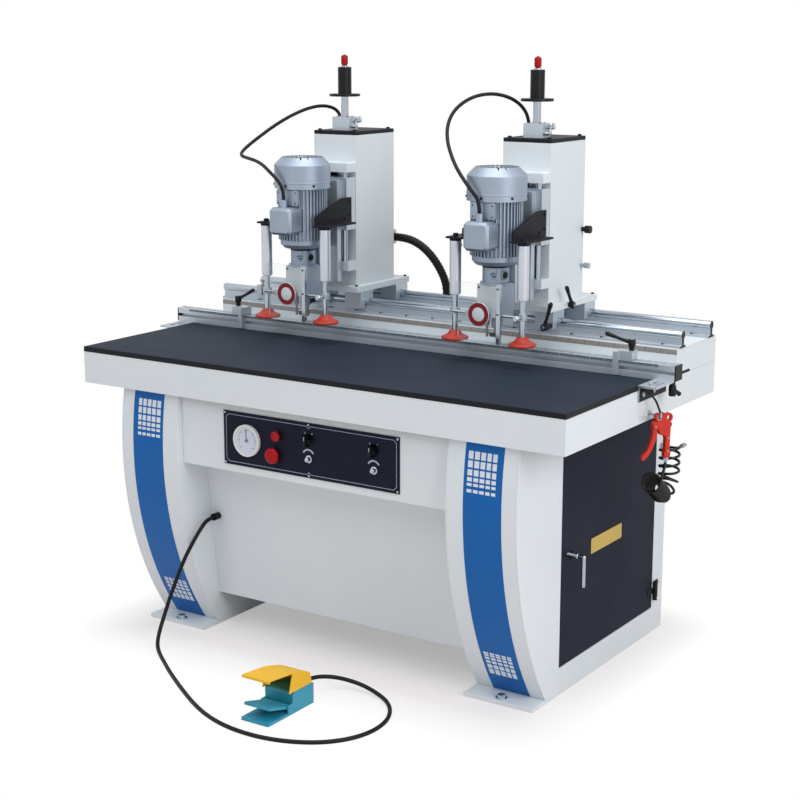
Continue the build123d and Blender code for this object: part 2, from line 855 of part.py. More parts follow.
needle = rod_y(gauge_x, dial_y - needle_hub, dial_y - knob_gap, gauge_z, needle_hub_r)
needle_tip = (gauge_x + needle_length * cos(needle_angle), dial_y - needle_hub / 2,
              gauge_z + needle_length * sin(needle_angle))
needle += rod_between((gauge_x, dial_y - needle_hub / 2, gauge_z), needle_tip, needle_r)
needle -= rod_y(gauge_x, dial_y - dial_pin - knob_gap, dial_y + 1, gauge_z, dial_pin_r + 0.2)
save("gauge_needle", needle)

cap_rear_y = collar_y - button_push - 1
emergency = rod_y(stop_button_x, cap_rear_y - stop_button_round, panel_front_y - stem_end_gap, stop_button_z,
                  button_stem_r)
mushroom = rod_y(stop_button_x, cap_rear_y - stop_button_height, cap_rear_y, stop_button_z, stop_button_r)
mushroom = fillet(mushroom.edges().sort_by(Axis.Y)[0], stop_button_round)
save("emergency_stop", emergency + mushroom)

start = rod_y(start_x, cap_rear_y - start_height / 2, panel_front_y - stem_end_gap, start_z, button_stem_r)
start += rod_y(start_x, cap_rear_y - start_height, cap_rear_y, start_z, start_r)
save("start_button", start)

for side, x in zip(("left", "right"), selector_xs):
    base_y = collar_y - knob_gap
    grip_y = base_y - selector_base
    turn_knob = rod_y(x, grip_y, base_y, selector_z, selector_r)
    turn_knob += block(x - selector_grip_half, x + selector_grip_half, grip_y - selector_grip, grip_y,
                       selector_z - selector_r, selector_z + selector_r)
    save(f"selector_{side}", turn_knob)

for side, x in zip(("left", "right"), regulator_xs):
    base_y = control_front_y - knob_gap
    air_knob = rod_y(x, base_y - regulator_length, base_y, regulator_z, regulator_r)
    air_knob = chamfer(air_knob.edges().sort_by(Axis.Y)[0], regulator_chamfer)
    for step in range(regulator_flutes):
        angle = step * 2 * pi / regulator_flutes
        air_knob -= rod_y(x + regulator_r * cos(angle), base_y - regulator_length - 1,
                          base_y - regulator_flange, regulator_z + regulator_r * sin(angle),
                          regulator_flute_r)
    save(f"regulator_{side}", air_knob)

# Cabinet door: shallow pan with two hinge knuckles
door = block(leg_outer_x - door_pan, leg_outer_x, door_front_y, door_rear_y, door_bottom, door_top)
door -= block(leg_outer_x - door_pan - 1, leg_outer_x - door_sheet, door_front_y + door_sheet,
              door_rear_y - door_sheet, door_bottom + door_sheet, door_top - door_sheet)
for hinge_z in hinge_zs:
    half = hinge_height / 6 - door_gap / 2
    arm = block(leg_outer_x, leg_outer_x + hinge_leaf, door_rear_y - hinge_leaf_width, hinge_y,
                hinge_z - half, hinge_z + half)
    arm += rod_z(hinge_x, hinge_y, hinge_z - half, hinge_z + half, hinge_knuckle_r)
    arm -= rod_z(hinge_x, hinge_y, hinge_z - half - 1, hinge_z + half + 1, hinge_pin_r + hinge_play)
    door += arm
door += rod_x(leg_outer_x, leg_outer_x + handle_rosette, door_handle_y, door_handle_z, handle_rosette_r)
door -= rod_x(leg_outer_x - door_sheet - 1, leg_outer_x + 5, door_handle_y, door_handle_z, handle_bore_r)
save("door", door)

grip_x = leg_outer_x + door_handle_reach
grip_z = door_handle_z - door_handle_drop
handle = rod_x(leg_outer_x - door_sheet - handle_cam, grip_x, door_handle_y, door_handle_z,
               handle_bore_r - handle_play)
handle += Pos(leg_outer_x + handle_rosette + handle_hub_r, door_handle_y,
              door_handle_z) * Sphere(handle_hub_r - knob_gap)
handle += Pos(grip_x, door_handle_y, door_handle_z) * Sphere(handle_grip_r)
handle += rod_between((grip_x, door_handle_y, door_handle_z), (grip_x, door_handle_y, grip_z), handle_grip_r)
handle += Pos(grip_x, door_handle_y, grip_z) * Sphere(handle_grip_r)
tail_x = leg_outer_x + handle_rosette + handle_hub_r
handle += rod_between((tail_x, door_handle_y, door_handle_z),
                      (tail_x, door_handle_y - handle_tail, door_handle_z + handle_tail_rise), handle_tail_r)
handle += block(leg_outer_x - door_sheet - handle_cam, leg_outer_x - door_sheet - 2, door_handle_y - 30,
                door_handle_y + 8, door_handle_z - 8, door_handle_z + 8)
save("door_handle", handle)


def clamp_lever(x, y, z, direction, arm, rise):
    """Clamp lever on a vertical stud: hub, sloping arm and ball end."""
    root_z = z + lever_hub_height * lever_root_share
    tip = (x + arm * cos(direction), y + arm * sin(direction), root_z + rise)
    lever = rod_z(x, y, z, z + lever_hub_height, lever_hub_r)
    lever += rod_between((x, y, root_z), tip, lever_arm_r)
    lever += Pos(*tip) * Sphere(lever_arm_r + lever_ball)
    return lever


# Fence stops: bar in front of the fence, block on its top slot, clamp lever
for side, hand, x in zip(("left", "right"), (-1, 1), stop_xs):
    bar_rear = fence_front_y - stop_play
    bar_x = sorted((x - hand * stop_bar / 2, x + hand * stop_bar / 2))
    block_x = sorted((x + hand * stop_bar / 2, x + hand * (stop_bar / 2 + stop_block)))
    base_z = fence_top + stop_play
    bar_top = fence_top + stop_bar_top
    block_rear = fence_rear_y - stop_rear_inset
    stop = block(*bar_x, bar_rear - stop_bar, bar_rear, table_height + stop_lift, bar_top)
    stop += block(*bar_x, bar_rear - stop_bar, block_rear, base_z, bar_top)
    stop += block(*block_x, fence_front_y + stop_front_inset, block_rear, base_z, base_z + stop_block_height)
    key_half = slot_mouth / 2 - stop_play
    nut_half = slot_inner / 2 - stop_play
    stop += block(*block_x, fence_center_y - key_half, fence_center_y + key_half,
                  fence_top - slot_lip - 2, base_z + 1)
    stop += block(*block_x, fence_center_y - nut_half, fence_center_y + nut_half,
                  fence_top - slot_depth + stop_front_inset, fence_top - slot_lip - stop_play)
    save(f"{side}_stop", stop)
    hub_x = x + hand * (stop_bar / 2 + stop_lever_place)
    direction = pi if hand > 0 else pi / 2
    save(f"{side}_stop_lever", clamp_lever(hub_x, fence_center_y, base_z + stop_block_height + knob_gap,
                                           direction, lever_arm, lever_rise))

# Fence lock lever under the right end
lock_x = half_length + fence_lock_reach
lock_y = fence_front_y + fence_lock_inset_y
lock_top = table_height - fence_lock_gap
lock_head_low = lock_top - fence_lock_head
lock = rod_z(lock_x, lock_y, lock_head_low, lock_top, fence_lock_head_r)
lock += rod_z(lock_x, lock_y, lock_top - fence_lock_length, lock_head_low, fence_lock_r)
lock_arm_root = Vector(lock_x, lock_y, lock_top - fence_lock_arm_drop)
lock_tip = lock_arm_root + Vector(*fence_lock_arm)
lock += rod_between(lock_arm_root, lock_tip, lever_arm_r)
lock += Pos(*lock_tip) * Sphere(lever_arm_r + lever_ball)
save("fence_lock", lock)


def carriage(cx):
    """Plate on four open bearing blocks that ride on the rails."""
    body = block(cx - carriage_half, cx + carriage_half, bed_front_y - carriage_front,
                 rear_y - carriage_rear_inset, carriage_bottom, carriage_top)
    for rail_y in rail_ys:
        for offset in (-bearing_x, bearing_x):
            x0 = cx + offset - bearing_length / 2
            body += block(x0, x0 + bearing_length, rail_y - bearing_width / 2, rail_y + bearing_width / 2,
                          rail_z - bearing_drop, carriage_bottom)
    for rail_y in rail_ys:
        body -= rod_x(cx - carriage_half - 1, cx + carriage_half + 1, rail_y, rail_z, rail_r + bearing_play)
        mouth = rail_web_half + bearing_mouth_play
        body -= block(cx - carriage_half - 1, cx + carriage_half + 1, rail_y - mouth, rail_y + mouth,
                      rail_z - bearing_drop - 1, rail_z)
    return body


def column(cx):
    """Sheet column with upper and lower guide brackets, and the two guide rods."""
    x0, x1 = cx - column_half, cx + column_half
    shell = block(x0, x1, column_front_y, column_rear_y, carriage_top, column_top)
    shell -= block(x0 + column_wall, x1 - column_wall, column_front_y + column_wall,
                   column_rear_y - column_wall, carriage_top - 1, column_top + 1)
    lower = carriage_top + lower_bracket_lift
    upper = slide_top + upper_bracket_gap
    shell -= block(cx - column_slot_half, cx + column_slot_half, column_front_y - 1,
                   column_front_y + column_wall + 1, lower + guide_bracket_height, upper)
    for z in (lower, upper):
        shell += block(cx - slide_half, cx + slide_half, column_front_y - guide_bracket_depth,
                       column_front_y, z, z + guide_bracket_height)
    guides = []
    for offset in (-guide_x, guide_x):
        guide = rod_z(cx + offset, guide_y, lower, upper + guide_bracket_height, guide_r)
        shell -= guide
        guides.append(guide)
    return shell, guides


def feed_cylinder(cx, hand):
    """Top plate with the feed cylinder below it, the end block above it, fittings and cable gland."""
    body = block(cx - column_half, cx + column_half, column_front_y, column_rear_y, column_top, plate_top)
    tube_low = feed_arm_low + feed_arm_height + feed_tube_gap
    block_top = plate_top + feed_block_height
    body += rod_z(cx, feed_y, tube_low, column_top, feed_tube_r)
    body += block(cx - feed_block_x / 2, cx + feed_block_x / 2, feed_y - feed_block_y / 2,
                  feed_y + feed_block_y / 2, plate_top, block_top)
    body -= rod_z(cx, feed_y, tube_low + feed_cap, column_top, feed_bore_r)
    body -= rod_z(cx, feed_y, tube_low - 1, block_top + 1, feed_rod_r + feed_rod_play)
    for x in (cx - column_half + plate_bolt_inset, cx + column_half - plate_bolt_inset):
        for y in (column_front_y + plate_bolt_inset, column_rear_y - plate_bolt_inset):
            body += rod_z(x, y, plate_top, plate_top + plate_bolt_height, plate_bolt_r)
    gland = rod_z(cx - cable_gland_x, cable_gland_y, plate_top, plate_top + cable_gland_height, gland_r)
    extras = [gland]
    fitting_x = cx + feed_block_x / 2
    for y_offset, z_offset in valve_places:
        y, z = feed_y + y_offset, plate_top + z_offset
        neck_x = fitting_x + valve_body
        elbow_x = neck_x + valve_neck / 2
        fitting = rod_x(fitting_x, neck_x, y, z, valve_body_r)
        fitting += rod_x(neck_x, neck_x + valve_neck, y, z, valve_neck_r)
        fitting += rod_z(elbow_x, y, z - valve_neck_r, z + valve_rise, valve_neck_r)
        extras.append(fitting)
    if hand > 0:
        stem_x = cx + column_half
        knob_x = stem_x + side_knob_stem
        for inset, lift, size in side_knobs:
            y, z = column_rear_y - inset, carriage_top + lift
            knob = rod_x(stem_x, knob_x, y, z, size * side_knob_stem_share)
            knob += rod_x(knob_x, knob_x + side_knob_length, y, z, size)
            extras.append(knob)
    return [body] + extras


def feed_rod(cx):
    """Through rod with its piston and the red end cap above it."""
    block_top = plate_top + feed_block_height
    rod_top = block_top + stop_flange_gap + stop_flange + stop_sleeve_length + feed_cap_gap
    piston_top = column_top - feed_piston_gap
    rod = rod_z(cx, feed_y, feed_arm_low, rod_top, feed_rod_r)
    rod += rod_z(cx, feed_y, piston_top - feed_piston, piston_top, feed_bore_r - feed_rod_play)
    end_cap = rod_z(cx, feed_y, rod_top, rod_top + feed_cap_height, feed_cap_r)
    end_cap = fillet(end_cap.edges().sort_by(Axis.Z)[-1], feed_cap_round)
    return rod, end_cap


def depth_stop(cx):
    """Threaded sleeve with a wide flange that lands on the end block."""
    low = plate_top + feed_block_height + stop_flange_gap
    sleeve = rod_z(cx, feed_y, low, low + stop_flange, stop_flange_r)
    sleeve += rod_z(cx, feed_y, low, low + stop_flange + stop_sleeve_length, stop_sleeve_r)
    sleeve -= rod_z(cx, feed_y, low - 1, low + stop_flange + stop_sleeve_length + 1,
                    feed_rod_r + feed_rod_play)
    return sleeve


def drill_head(cx):
    """Slide with its back plate and arms, gear box open on top, and the neck that closes it."""
    slide = block(cx - slide_half, cx + slide_half, slide_front_y, slide_rear_y, slide_bottom, slide_top)
    for offset in (-guide_x, guide_x):
        slide -= rod_z(cx + offset, guide_y, slide_bottom - 1, slide_top + 1, guide_r + guide_play)
    arm_top = feed_arm_low + feed_arm_height
    slide += block(cx - feed_arm_half, cx + feed_arm_half, slide_rear_y, feed_y + feed_rod_r + feed_arm_rear,
                   feed_arm_low, arm_top)
    slide -= rod_z(cx, feed_y, feed_arm_low - 1, arm_top + 1, feed_rod_r)
    box_back_y = spindle_y + box_back
    plate_low = carriage_top + head_plate_lift
    slide += block(cx - head_plate_half, cx + head_plate_half, slide_front_y - head_plate, slide_front_y,
                   plate_low, slide_top - head_plate_gap)
    slide += block(cx - head_web_half, cx + head_web_half, box_back_y, slide_front_y, plate_low,
                   plate_low + head_web_height)
    slide -= rod_z(cx, spindle_y, carriage_top, slide_top, neck_r)
    box = block(cx - box_half, cx + box_half, spindle_y - box_front, box_back_y, box_bottom, box_top)
    floor_z = box_bottom + gear_floor
    box -= block(cx - box_half + gear_wall, cx + box_half - gear_wall, spindle_y - box_front + gear_wall,
                 box_back_y - gear_wall, floor_z, box_top)
    box -= rod_z(cx, spindle_y, box_bottom - 1, floor_z + 1, cup_shaft_r + shaft_play)
    for offset in (-dowel_x, dowel_x):
        box -= rod_z(cx + offset, spindle_y + dowel_y, box_bottom - 1, floor_z + 1,
                     dowel_shaft_r + shaft_play)
    neck = rod_z(cx, spindle_y, box_top, box_top + neck_height, neck_r)
    plug_y = spindle_y - neck_r - neck_plug_reach
    neck += rod_y(cx + neck_plug_x, plug_y, spindle_y, box_top + neck_height / 2, neck_plug_r)
    neck -= rod_z(cx, spindle_y, box_top - 1, box_top + neck_bore, cup_shaft_r + shaft_play)
    return slide, box, neck


def cup_spindle(cx):
    """Shaft with gear, chuck and hinge cup cutter."""
    floor_z = box_bottom + gear_floor
    chuck_top = box_bottom - chuck_gap
    cutter_top = chuck_top - cup_chuck_length - cup_shank
    body = rod_z(cx, spindle_y, chuck_top - 1, box_top + neck_bore - shaft_end_gap, cup_shaft_r)
    body += rod_z(cx, spindle_y, floor_z + gear_lift, floor_z + gear_lift + gear_width, gear_r)
    body += rod_z(cx, spindle_y, chuck_top - cup_chuck_length, chuck_top, cup_chuck_r)
    body += rod_z(cx, spindle_y, cutter_top - 1, chuck_top - cup_chuck_length, cup_shank_r)
    cutter = rod_z(cx, spindle_y, cutter_top - cup_cutter_length, cutter_top, cup_cutter_r)
    gullet = Pos(cup_cutter_r, cup_gullet / 2, -cup_tip / 2) * Box(2 * cup_gullet, cup_gullet,
                                                                   cup_cutter_length)
    for turn in (0, 180):
        cutter -= Pos(cx, spindle_y, cutter_top - cup_cutter_length / 2) * Rot(0, 0, turn) * gullet
    tip_base = cutter_top - cup_cutter_length
    body += cutter
    body += Pos(cx, spindle_y, tip_base - cup_tip / 2) * Cone(cup_point_r, cup_tip_r, cup_tip)
    return body


def dowel_spindle(cx, offset):
    """Shaft with gear, chuck and dowel drill."""
    x, y = cx + offset, spindle_y + dowel_y
    floor_z = box_bottom + gear_floor
    chuck_top = box_bottom - chuck_gap
    drill_top = chuck_top - dowel_chuck_length
    body = rod_z(x, y, chuck_top - 1, floor_z + gear_lift + gear_width, dowel_shaft_r)
    body += rod_z(x, y, floor_z + gear_lift, floor_z + gear_lift + gear_width, gear_r)
    body += rod_z(x, y, drill_top, chuck_top, dowel_chuck_r)
    body += rod_z(x, y, drill_top - dowel_drill_length, drill_top, dowel_drill_r)
    return body


def motor(cx):
    """Finned motor with end bell, fan cowl, terminal box and cable gland."""
    fin_low = motor_low + motor_bell
    fin_high = fin_low + motor_body
    section = Circle(motor_core_r)
    reach = motor_fin_r - motor_core_r + motor_fin
    fin = Pos(motor_fin_r - reach / 2, 0) * Rectangle(reach, motor_fin)
    for step in range(motor_fins):
        section += Rot(0, 0, step * 360 / motor_fins) * fin
    body = Pos(cx, spindle_y, fin_low) * extrude(section, motor_body)
    bell = rod_z(cx, spindle_y, motor_low, fin_low, motor_bell_r)
    bell = chamfer(bell.edges().sort_by(Axis.Z)[0], motor_bell_chamfer)
    cowl = rod_z(cx, spindle_y, fin_high, fin_high + cowl_height, cowl_r)
    cowl = chamfer(cowl.edges().sort_by(Axis.Z)[-1], cowl_chamfer)
    box_low = motor_low + terminal_lift
    box_front_y = spindle_y - terminal_front
    box = block(cx - terminal_half, cx + terminal_half, box_front_y, spindle_y - motor_core_r / 2,
                box_low, box_low + terminal_height)
    box = chamfer(box.edges().filter_by(Axis.Y), terminal_corner)
    box = chamfer(box.edges().group_by(Axis.Y)[0], terminal_chamfer)
    box += rod_z(cx, motor_gland_y, box_low + terminal_height - 1, motor_gland_top, gland_r)
    box -= body
    return body, bell, cowl, box.solids().sort_by(Axis.Y)[0]


def clamp_cylinders(cx):
    """Gussets with shelves on the slide's sides and the two hold-down cylinders under them."""
    parts = []
    gusset_top = shelf_low + gusset_height
    gusset_front_y = clamp_y - gusset_front
    gusset_rear_y = slide_rear_y - gusset_rear_inset
    outline = [(gusset_front_y, shelf_low), (gusset_rear_y, shelf_low), (gusset_rear_y, gusset_top),
               (slide_front_y - gusset_top_reach, gusset_top),
               (gusset_front_y, shelf_low + gusset_nose)]
    for hand in (-1, 1):
        x0, x1 = sorted((cx + hand * slide_half, cx + hand * (slide_half + gusset)))
        piece = prism_x(outline, x0, x1)
        s0, s1 = sorted((cx + hand * slide_half, cx + hand * (slide_half + shelf_reach)))
        piece += block(s0, s1, clamp_y - clamp_r - shelf_margin, slide_rear_y - shelf_rear_inset, shelf_low,
                       shelf_low + shelf)
        x = cx + hand * clamp_x
        piece += rod_z(x, clamp_y, shelf_low - clamp_length, shelf_low + 1, clamp_r)
        piece += rod_z(x, clamp_y, shelf_low + shelf, shelf_low + shelf + clamp_nut, clamp_nut_r)
        piece += rod_y(x, clamp_y, clamp_y + clamp_r + clamp_port_reach, shelf_low - clamp_port_drop,
                       clamp_port_r)
        piece -= rod_z(x, clamp_y, shelf_low - clamp_length - 1, shelf_low - clamp_head,
                       clamp_rod_r + clamp_play)
        parts.append(piece)
    return parts


def hold_down(cx):
    """Clamp rods with pads and collars, joined by a bar that carries the clear guard."""
    pad_low = carriage_top - pad_drop
    rim_top = pad_low + pad_rim
    pad_top = pad_low + pad_height
    cylinder_low = shelf_low - clamp_length
    collar_low = cylinder_low - collar_gap - collar_height
    bar_y = clamp_y - bar_front
    bar_z = collar_low + collar_height / 2
    bar = rod_x(cx - clamp_x, cx + clamp_x, bar_y, bar_z, bar_r)
    rods = []
    pads = []
    for hand in (-1, 1):
        x = cx + hand * clamp_x
        rod = rod_z(x, clamp_y, pad_top, cylinder_low + clamp_rod_rise, clamp_rod_r)
        rod += rod_z(x, clamp_y, collar_low, collar_low + collar_height, collar_r)
        bar -= rod
        rods.append(rod)
        rim = rod_z(x, clamp_y, pad_low, rim_top, pad_r)
        pad = fillet(rim.edges().filter_by(GeomType.CIRCLE), pad_rim_round)
        bell = Cone(pad_shoulder_r, pad_neck_r, pad_top - rim_top,
                    align=(Align.CENTER, Align.CENTER, Align.MIN))
        pads.append(pad + Pos(x, clamp_y, rim_top) * bell)
    bar = bar.solids().sort_by(SortBy.VOLUME)[-1]
    guard_y = clamp_y - guard_front
    guard_low = pad_low + guard_lift
    for offset in guard_post_xs:
        bar += block(cx + offset - guard_post_half, cx + offset + guard_post_half, guard_y + guard_thickness,
                     bar_y + bar_r / 2, bar_z - guard_post_half_height, bar_z + guard_post_half_height)
    guard = block(cx - guard_left, cx + guard_right, guard_y, guard_y + guard_thickness, guard_low,
                  guard_low + guard_height)
    guard = fillet(guard.edges().filter_by(Axis.Y), guard_corner)
    disc = rod_y(cx + disc_x, guard_y - disc_thickness, guard_y, bar_z - disc_drop, disc_r)
    return [*rods, bar, guard, disc, *pads]


def front_lock(cx, hand):
    """Clamp lever on the front of the front bearing."""
    x = cx + hand * (bearing_x + front_lock_offset)
    y1 = rail_ys[0] - bearing_width / 2 - knob_gap
    y0 = bed_front_y - carriage_front - front_lock_reach
    z = rail_z - front_lock_drop
    lever = rod_y(x, y0, y1, z, lever_hub_r)
    tip = (x + hand * front_lock_lean, y0 + lever_arm_r, z + front_lock_arm)
    lever += rod_between((x, y0 + lever_arm_r + 1, z), tip, lever_arm_r)
    lever += Pos(*tip) * Sphere(lever_arm_r + lever_ball)
    return lever


def side_lock(cx, hand):
    """Clamp lever on the outer edge of the carriage plate."""
    x0 = cx + hand * (carriage_half + knob_gap)
    x1 = x0 + hand * side_lock_reach
    z = carriage_bottom + carriage_thickness / 2
    y = bed_front_y + side_lock_inset
    lever = rod_x(min(x0, x1), max(x0, x1), y, z, lever_hub_r)
    tip = (x1 - hand * lever_arm_r, y - side_lock_lean, z + side_lock_arm)
    lever += rod_between((x1 - hand * (lever_arm_r + 1), y, z), tip, lever_arm_r)
    lever += Pos(*tip) * Sphere(lever_arm_r + lever_ball)
    return lever


# Points of each motor cable from the head's centre, spindle side and top plate
cable_paths = {
    "left": [(-64, 320, 40), (-78, 308, 66), (-110, 282, 76), (-148, 246, 66), (-186, 205, 42),
             (-220, 164, 10), (-250, 124, -26), (-270, 88, -56), (-272, 54, -78), (-252, 26, -90),
             (-212, 6, -96), (-158, -16, -102), (-106, -44, -112), (-62, -70, -126), (-20, -84, -144),
             (0, -80, -170)],
    "right": [(-64, 320, 48), (-78, 306, 88), (-108, 274, 118), (-150, 230, 130), (-190, 180, 118),
              (-216, 130, 84), (-214, 86, 42), (-188, 42, -2), (-150, 2, -40), (-108, -36, -74),
              (-64, -68, -104), (-24, -85, -136), (0, -80, -166)],
}

for side, hand, cx in zip(("left", "right"), (-1, 1), head_xs):
    shell, guides = column(cx)
    extras = []
    if hand < 0:
        extras.append(block(cx + air_box_x, cx + air_box_x + air_box_width, column_rear_y,
                            column_rear_y + air_box_depth, carriage_top + air_box_lift,
                            carriage_top + air_box_lift + air_box_height))
    save(f"{side}_carriage", carriage(cx))
    save(f"{side}_column", shell, *guides, *extras)
    save(f"{side}_plunge_cylinder", *feed_cylinder(cx, hand))
    save(f"{side}_plunge_rod", *feed_rod(cx))
    save(f"{side}_depth_stop", depth_stop(cx))
    save(f"{side}_drill_head", *drill_head(cx))
    save(f"{side}_motor", *motor(cx))
    save(f"{side}_cup_spindle", cup_spindle(cx))
    save(f"{side}_dowel_spindle_a", dowel_spindle(cx, -dowel_x))
    save(f"{side}_dowel_spindle_b", dowel_spindle(cx, dowel_x))
    save(f"{side}_clamp_cylinders", *clamp_cylinders(cx))
    save(f"{side}_hold_down", *hold_down(cx))
    save(f"{side}_front_lock", front_lock(cx, hand))
    save(f"{side}_side_lock", side_lock(cx, hand))
    points = [(cx - cable_gland_x, cable_gland_y, plate_top + cable_gland_height)]
    points += [(cx + x, y, plate_top + z) for x, y, z in cable_paths[side]]
    points += [(cx, motor_gland_y, motor_gland_top)]
    save(f"{side}_motor_cable", cord(f"{side} motor cable", points, cable_r))

# Conduit from the box behind the left column down to a gland on the bed
conduit_x = head_xs[0] + air_box_x + air_box_width
conduit_y = column_rear_y + conduit_inset
conduit_z = carriage_top + conduit_lift
conduit_end_y = rear_y - conduit_r - 1
bed_gland_top = bed_top + bed_gland_height
conduit_points = [
    (conduit_x, conduit_y, conduit_z), (conduit_x + 38, conduit_y, conduit_z),
    (conduit_x + 80, conduit_y + 4, conduit_z - 9), (conduit_x + 120, conduit_y + 11, conduit_z - 33),
    (conduit_x + 154, conduit_y + 18, conduit_z - 69), (conduit_x + 180, conduit_y + 25, conduit_z - 113),
    (conduit_end_x, conduit_end_y, bed_gland_top + 50), (conduit_end_x, conduit_end_y, bed_gland_top),
]
conduit = cord("conduit", conduit_points, conduit_r)
bed_gland = rod_z(conduit_end_x, conduit_end_y, bed_top, bed_gland_top, bed_gland_r)
save("conduit", conduit, bed_gland)

# Foot pedal: base, switch body, pin lugs and open hood
pedal_x0 = pedal_x - pedal_width / 2
pedal_x1 = pedal_x + pedal_width / 2
pedal_front_y = pedal_rear_y - pedal_length
body_rear_y = pedal_rear_y - pedal_body_inset
body_front_y = body_rear_y - pedal_body_depth
pedal_pin_y = body_front_y - pedal_pin_reach
pedal = block(pedal_x0, pedal_x1, pedal_front_y, pedal_rear_y, 0, pedal_base)
pedal = fillet(pedal.edges().filter_by(Axis.Z), pedal_round)
switch_body = block(pedal_x0, pedal_x1, body_front_y, body_rear_y, pedal_base, pedal_body_top)
switch_body = fillet(switch_body.edges().filter_by(Axis.X).group_by(Axis.Z)[-1], pedal_round)
pedal += switch_body
for x0 in (pedal_x0, pedal_x1 - pedal_lug):
    pedal += block(x0, x0 + pedal_lug, pedal_pin_y - pedal_lug_r, body_front_y + 1, pedal_base - 1,
                   pedal_pin_z + pedal_lug_r)
pedal += rod_x(pedal_x0 + 1, pedal_x1 - 1, pedal_pin_y, pedal_pin_z, pedal_pin_r)
cord_entry_y = body_rear_y + cord_entry_length
pedal += rod_y(pedal_x, body_rear_y - 1, cord_entry_y, cord_entry_z, cord_entry_r)
hood_tip_y = pedal_front_y + hood_tip_inset
hood_rear_y = body_rear_y - hood_rear_inset
hood_crown_y = hood_rear_y - hood_rear_lean
hood_crown = pedal_body_top + hood_rear_rise
hood_ridge = pedal_body_top + hood_ridge_rise
hood_skirt = pedal_body_top - hood_overlap
hood_outline = [(hood_rear_y, pedal_body_top), (hood_crown_y, hood_crown), (body_front_y - 1, hood_ridge),
                (hood_tip_y, hood_tip), (hood_tip_y, hood_tip - hood_lip),
                (body_front_y - hood_mouth, pedal_body_top + hood_mouth_rise),
                (body_front_y + hood_sheet, hood_skirt), (hood_rear_y - hood_rear_lean / 2, hood_skirt)]
hood = prism_x(hood_outline, pedal_x0 - hood_sheet, pedal_x1 + hood_sheet)
hood_inner = [(hood_rear_y - hood_sheet, hood_skirt), (hood_crown_y - hood_sheet, hood_crown - hood_sheet),
              (body_front_y - 1, hood_ridge - hood_sheet), (pedal_front_y, hood_tip - hood_sheet),
              (pedal_front_y, 0), (hood_rear_y - hood_sheet, 0)]
hood -= prism_x(hood_inner, pedal_x0, pedal_x1)
hood -= block(pedal_x0, pedal_x1, body_front_y - 1, body_rear_y + 1, 0, pedal_body_top)
hood -= switch_body
save("pedal_body", pedal, hood)

tread_half = pedal_width / 2 - pedal_lug - tread_gap
tread_front_y = pedal_front_y + tread_front_inset
tread_rear_z = pedal_pin_z - tread_thickness / 2
tread_outline = [(pedal_pin_y, tread_rear_z), (tread_front_y, tread_front_z),
                 (tread_front_y, tread_front_z + tread_thickness),
                 (pedal_pin_y, tread_rear_z + tread_thickness)]
tread_x0 = pedal_x - tread_half
tread_x1 = pedal_x + tread_half
treadle = prism_x(tread_outline, tread_x0, tread_x1)
treadle += rod_x(tread_x0, tread_x1, pedal_pin_y, pedal_pin_z, pedal_pin_r + tread_hub)
treadle -= rod_x(tread_x0 - 1, tread_x1 + 1, pedal_pin_y, pedal_pin_z, pedal_pin_r + pedal_pin_play)
save("pedal_treadle", treadle)

# Pedal cord from the knee panel gland over the floor to the back of the pedal
floor_z = pedal_cord_r + 0.2
cord_points = [
    (cord_gland_x, cord_gland_front, cord_gland_z), (cord_gland_x, cord_gland_front - 30, cord_gland_z),
    (cord_gland_x + 1, cord_gland_front - 62, cord_gland_z - 20),
    (cord_gland_x - 8, cord_gland_front - 90, cord_gland_z - 58), (-480, -464, 262), (-496, -488, 202),
    (-508, -508, 138), (-515, -526, 82), (-513, -548, 38), (-496, -578, floor_z + 6), (-460, -612, floor_z),
    (-400, -661, floor_z), (-334, -711, floor_z), (-264, -760, floor_z), (-192, -808, floor_z),
    (-118, -855, floor_z), (-38, -897, floor_z), (44, -926, floor_z), (126, -938, floor_z),
    (206, -932, floor_z), (280, -908, floor_z), (346, -868, floor_z), (394, -808, floor_z),
    (416, -738, floor_z), (412, -664, floor_z), (384, -598, floor_z), (340, -546, floor_z + 1),
    (286, -516, floor_z + 10), (228, -508, floor_z + 24), (176, -518, cord_entry_z - 4),
    (134, -544, cord_entry_z), (pedal_x, -584, cord_entry_z), (pedal_x, cord_entry_y, cord_entry_z),
]
save("pedal_cord", cord("pedal cord", cord_points, pedal_cord_r))

# Air gun: drawn in its own plane, which is turned about the vertical
gun_along = (cos(radians(gun_turn)), sin(radians(gun_turn)))


def gun_point(u, w):
    """Point of the gun's middle plane, u along the gun and w up from the hanger hole."""
    return (gun_x + u * gun_along[0], gun_y + u * gun_along[1], gun_z + w)


def gun_plate(outline, n0, n1):
    """Outline of (u, w) points, thick from n0 to n1 across the gun."""
    face = make_face(Polyline(*outline, close=True))
    origin = (gun_x + n0 * gun_normal[0], gun_y + n0 * gun_normal[1], gun_z)
    return Plane(origin=origin, x_dir=(*gun_along, 0), z_dir=(*gun_normal, 0)) * extrude(face, n1 - n0)


def gun_pin(u, w, n0, n1, r):
    """Round bar across the gun."""
    x, y, z = gun_point(u, w)
    p = (x + n0 * gun_normal[0], y + n0 * gun_normal[1], z)
    q = (x + n1 * gun_normal[0], y + n1 * gun_normal[1], z)
    return rod_between(p, q, r)


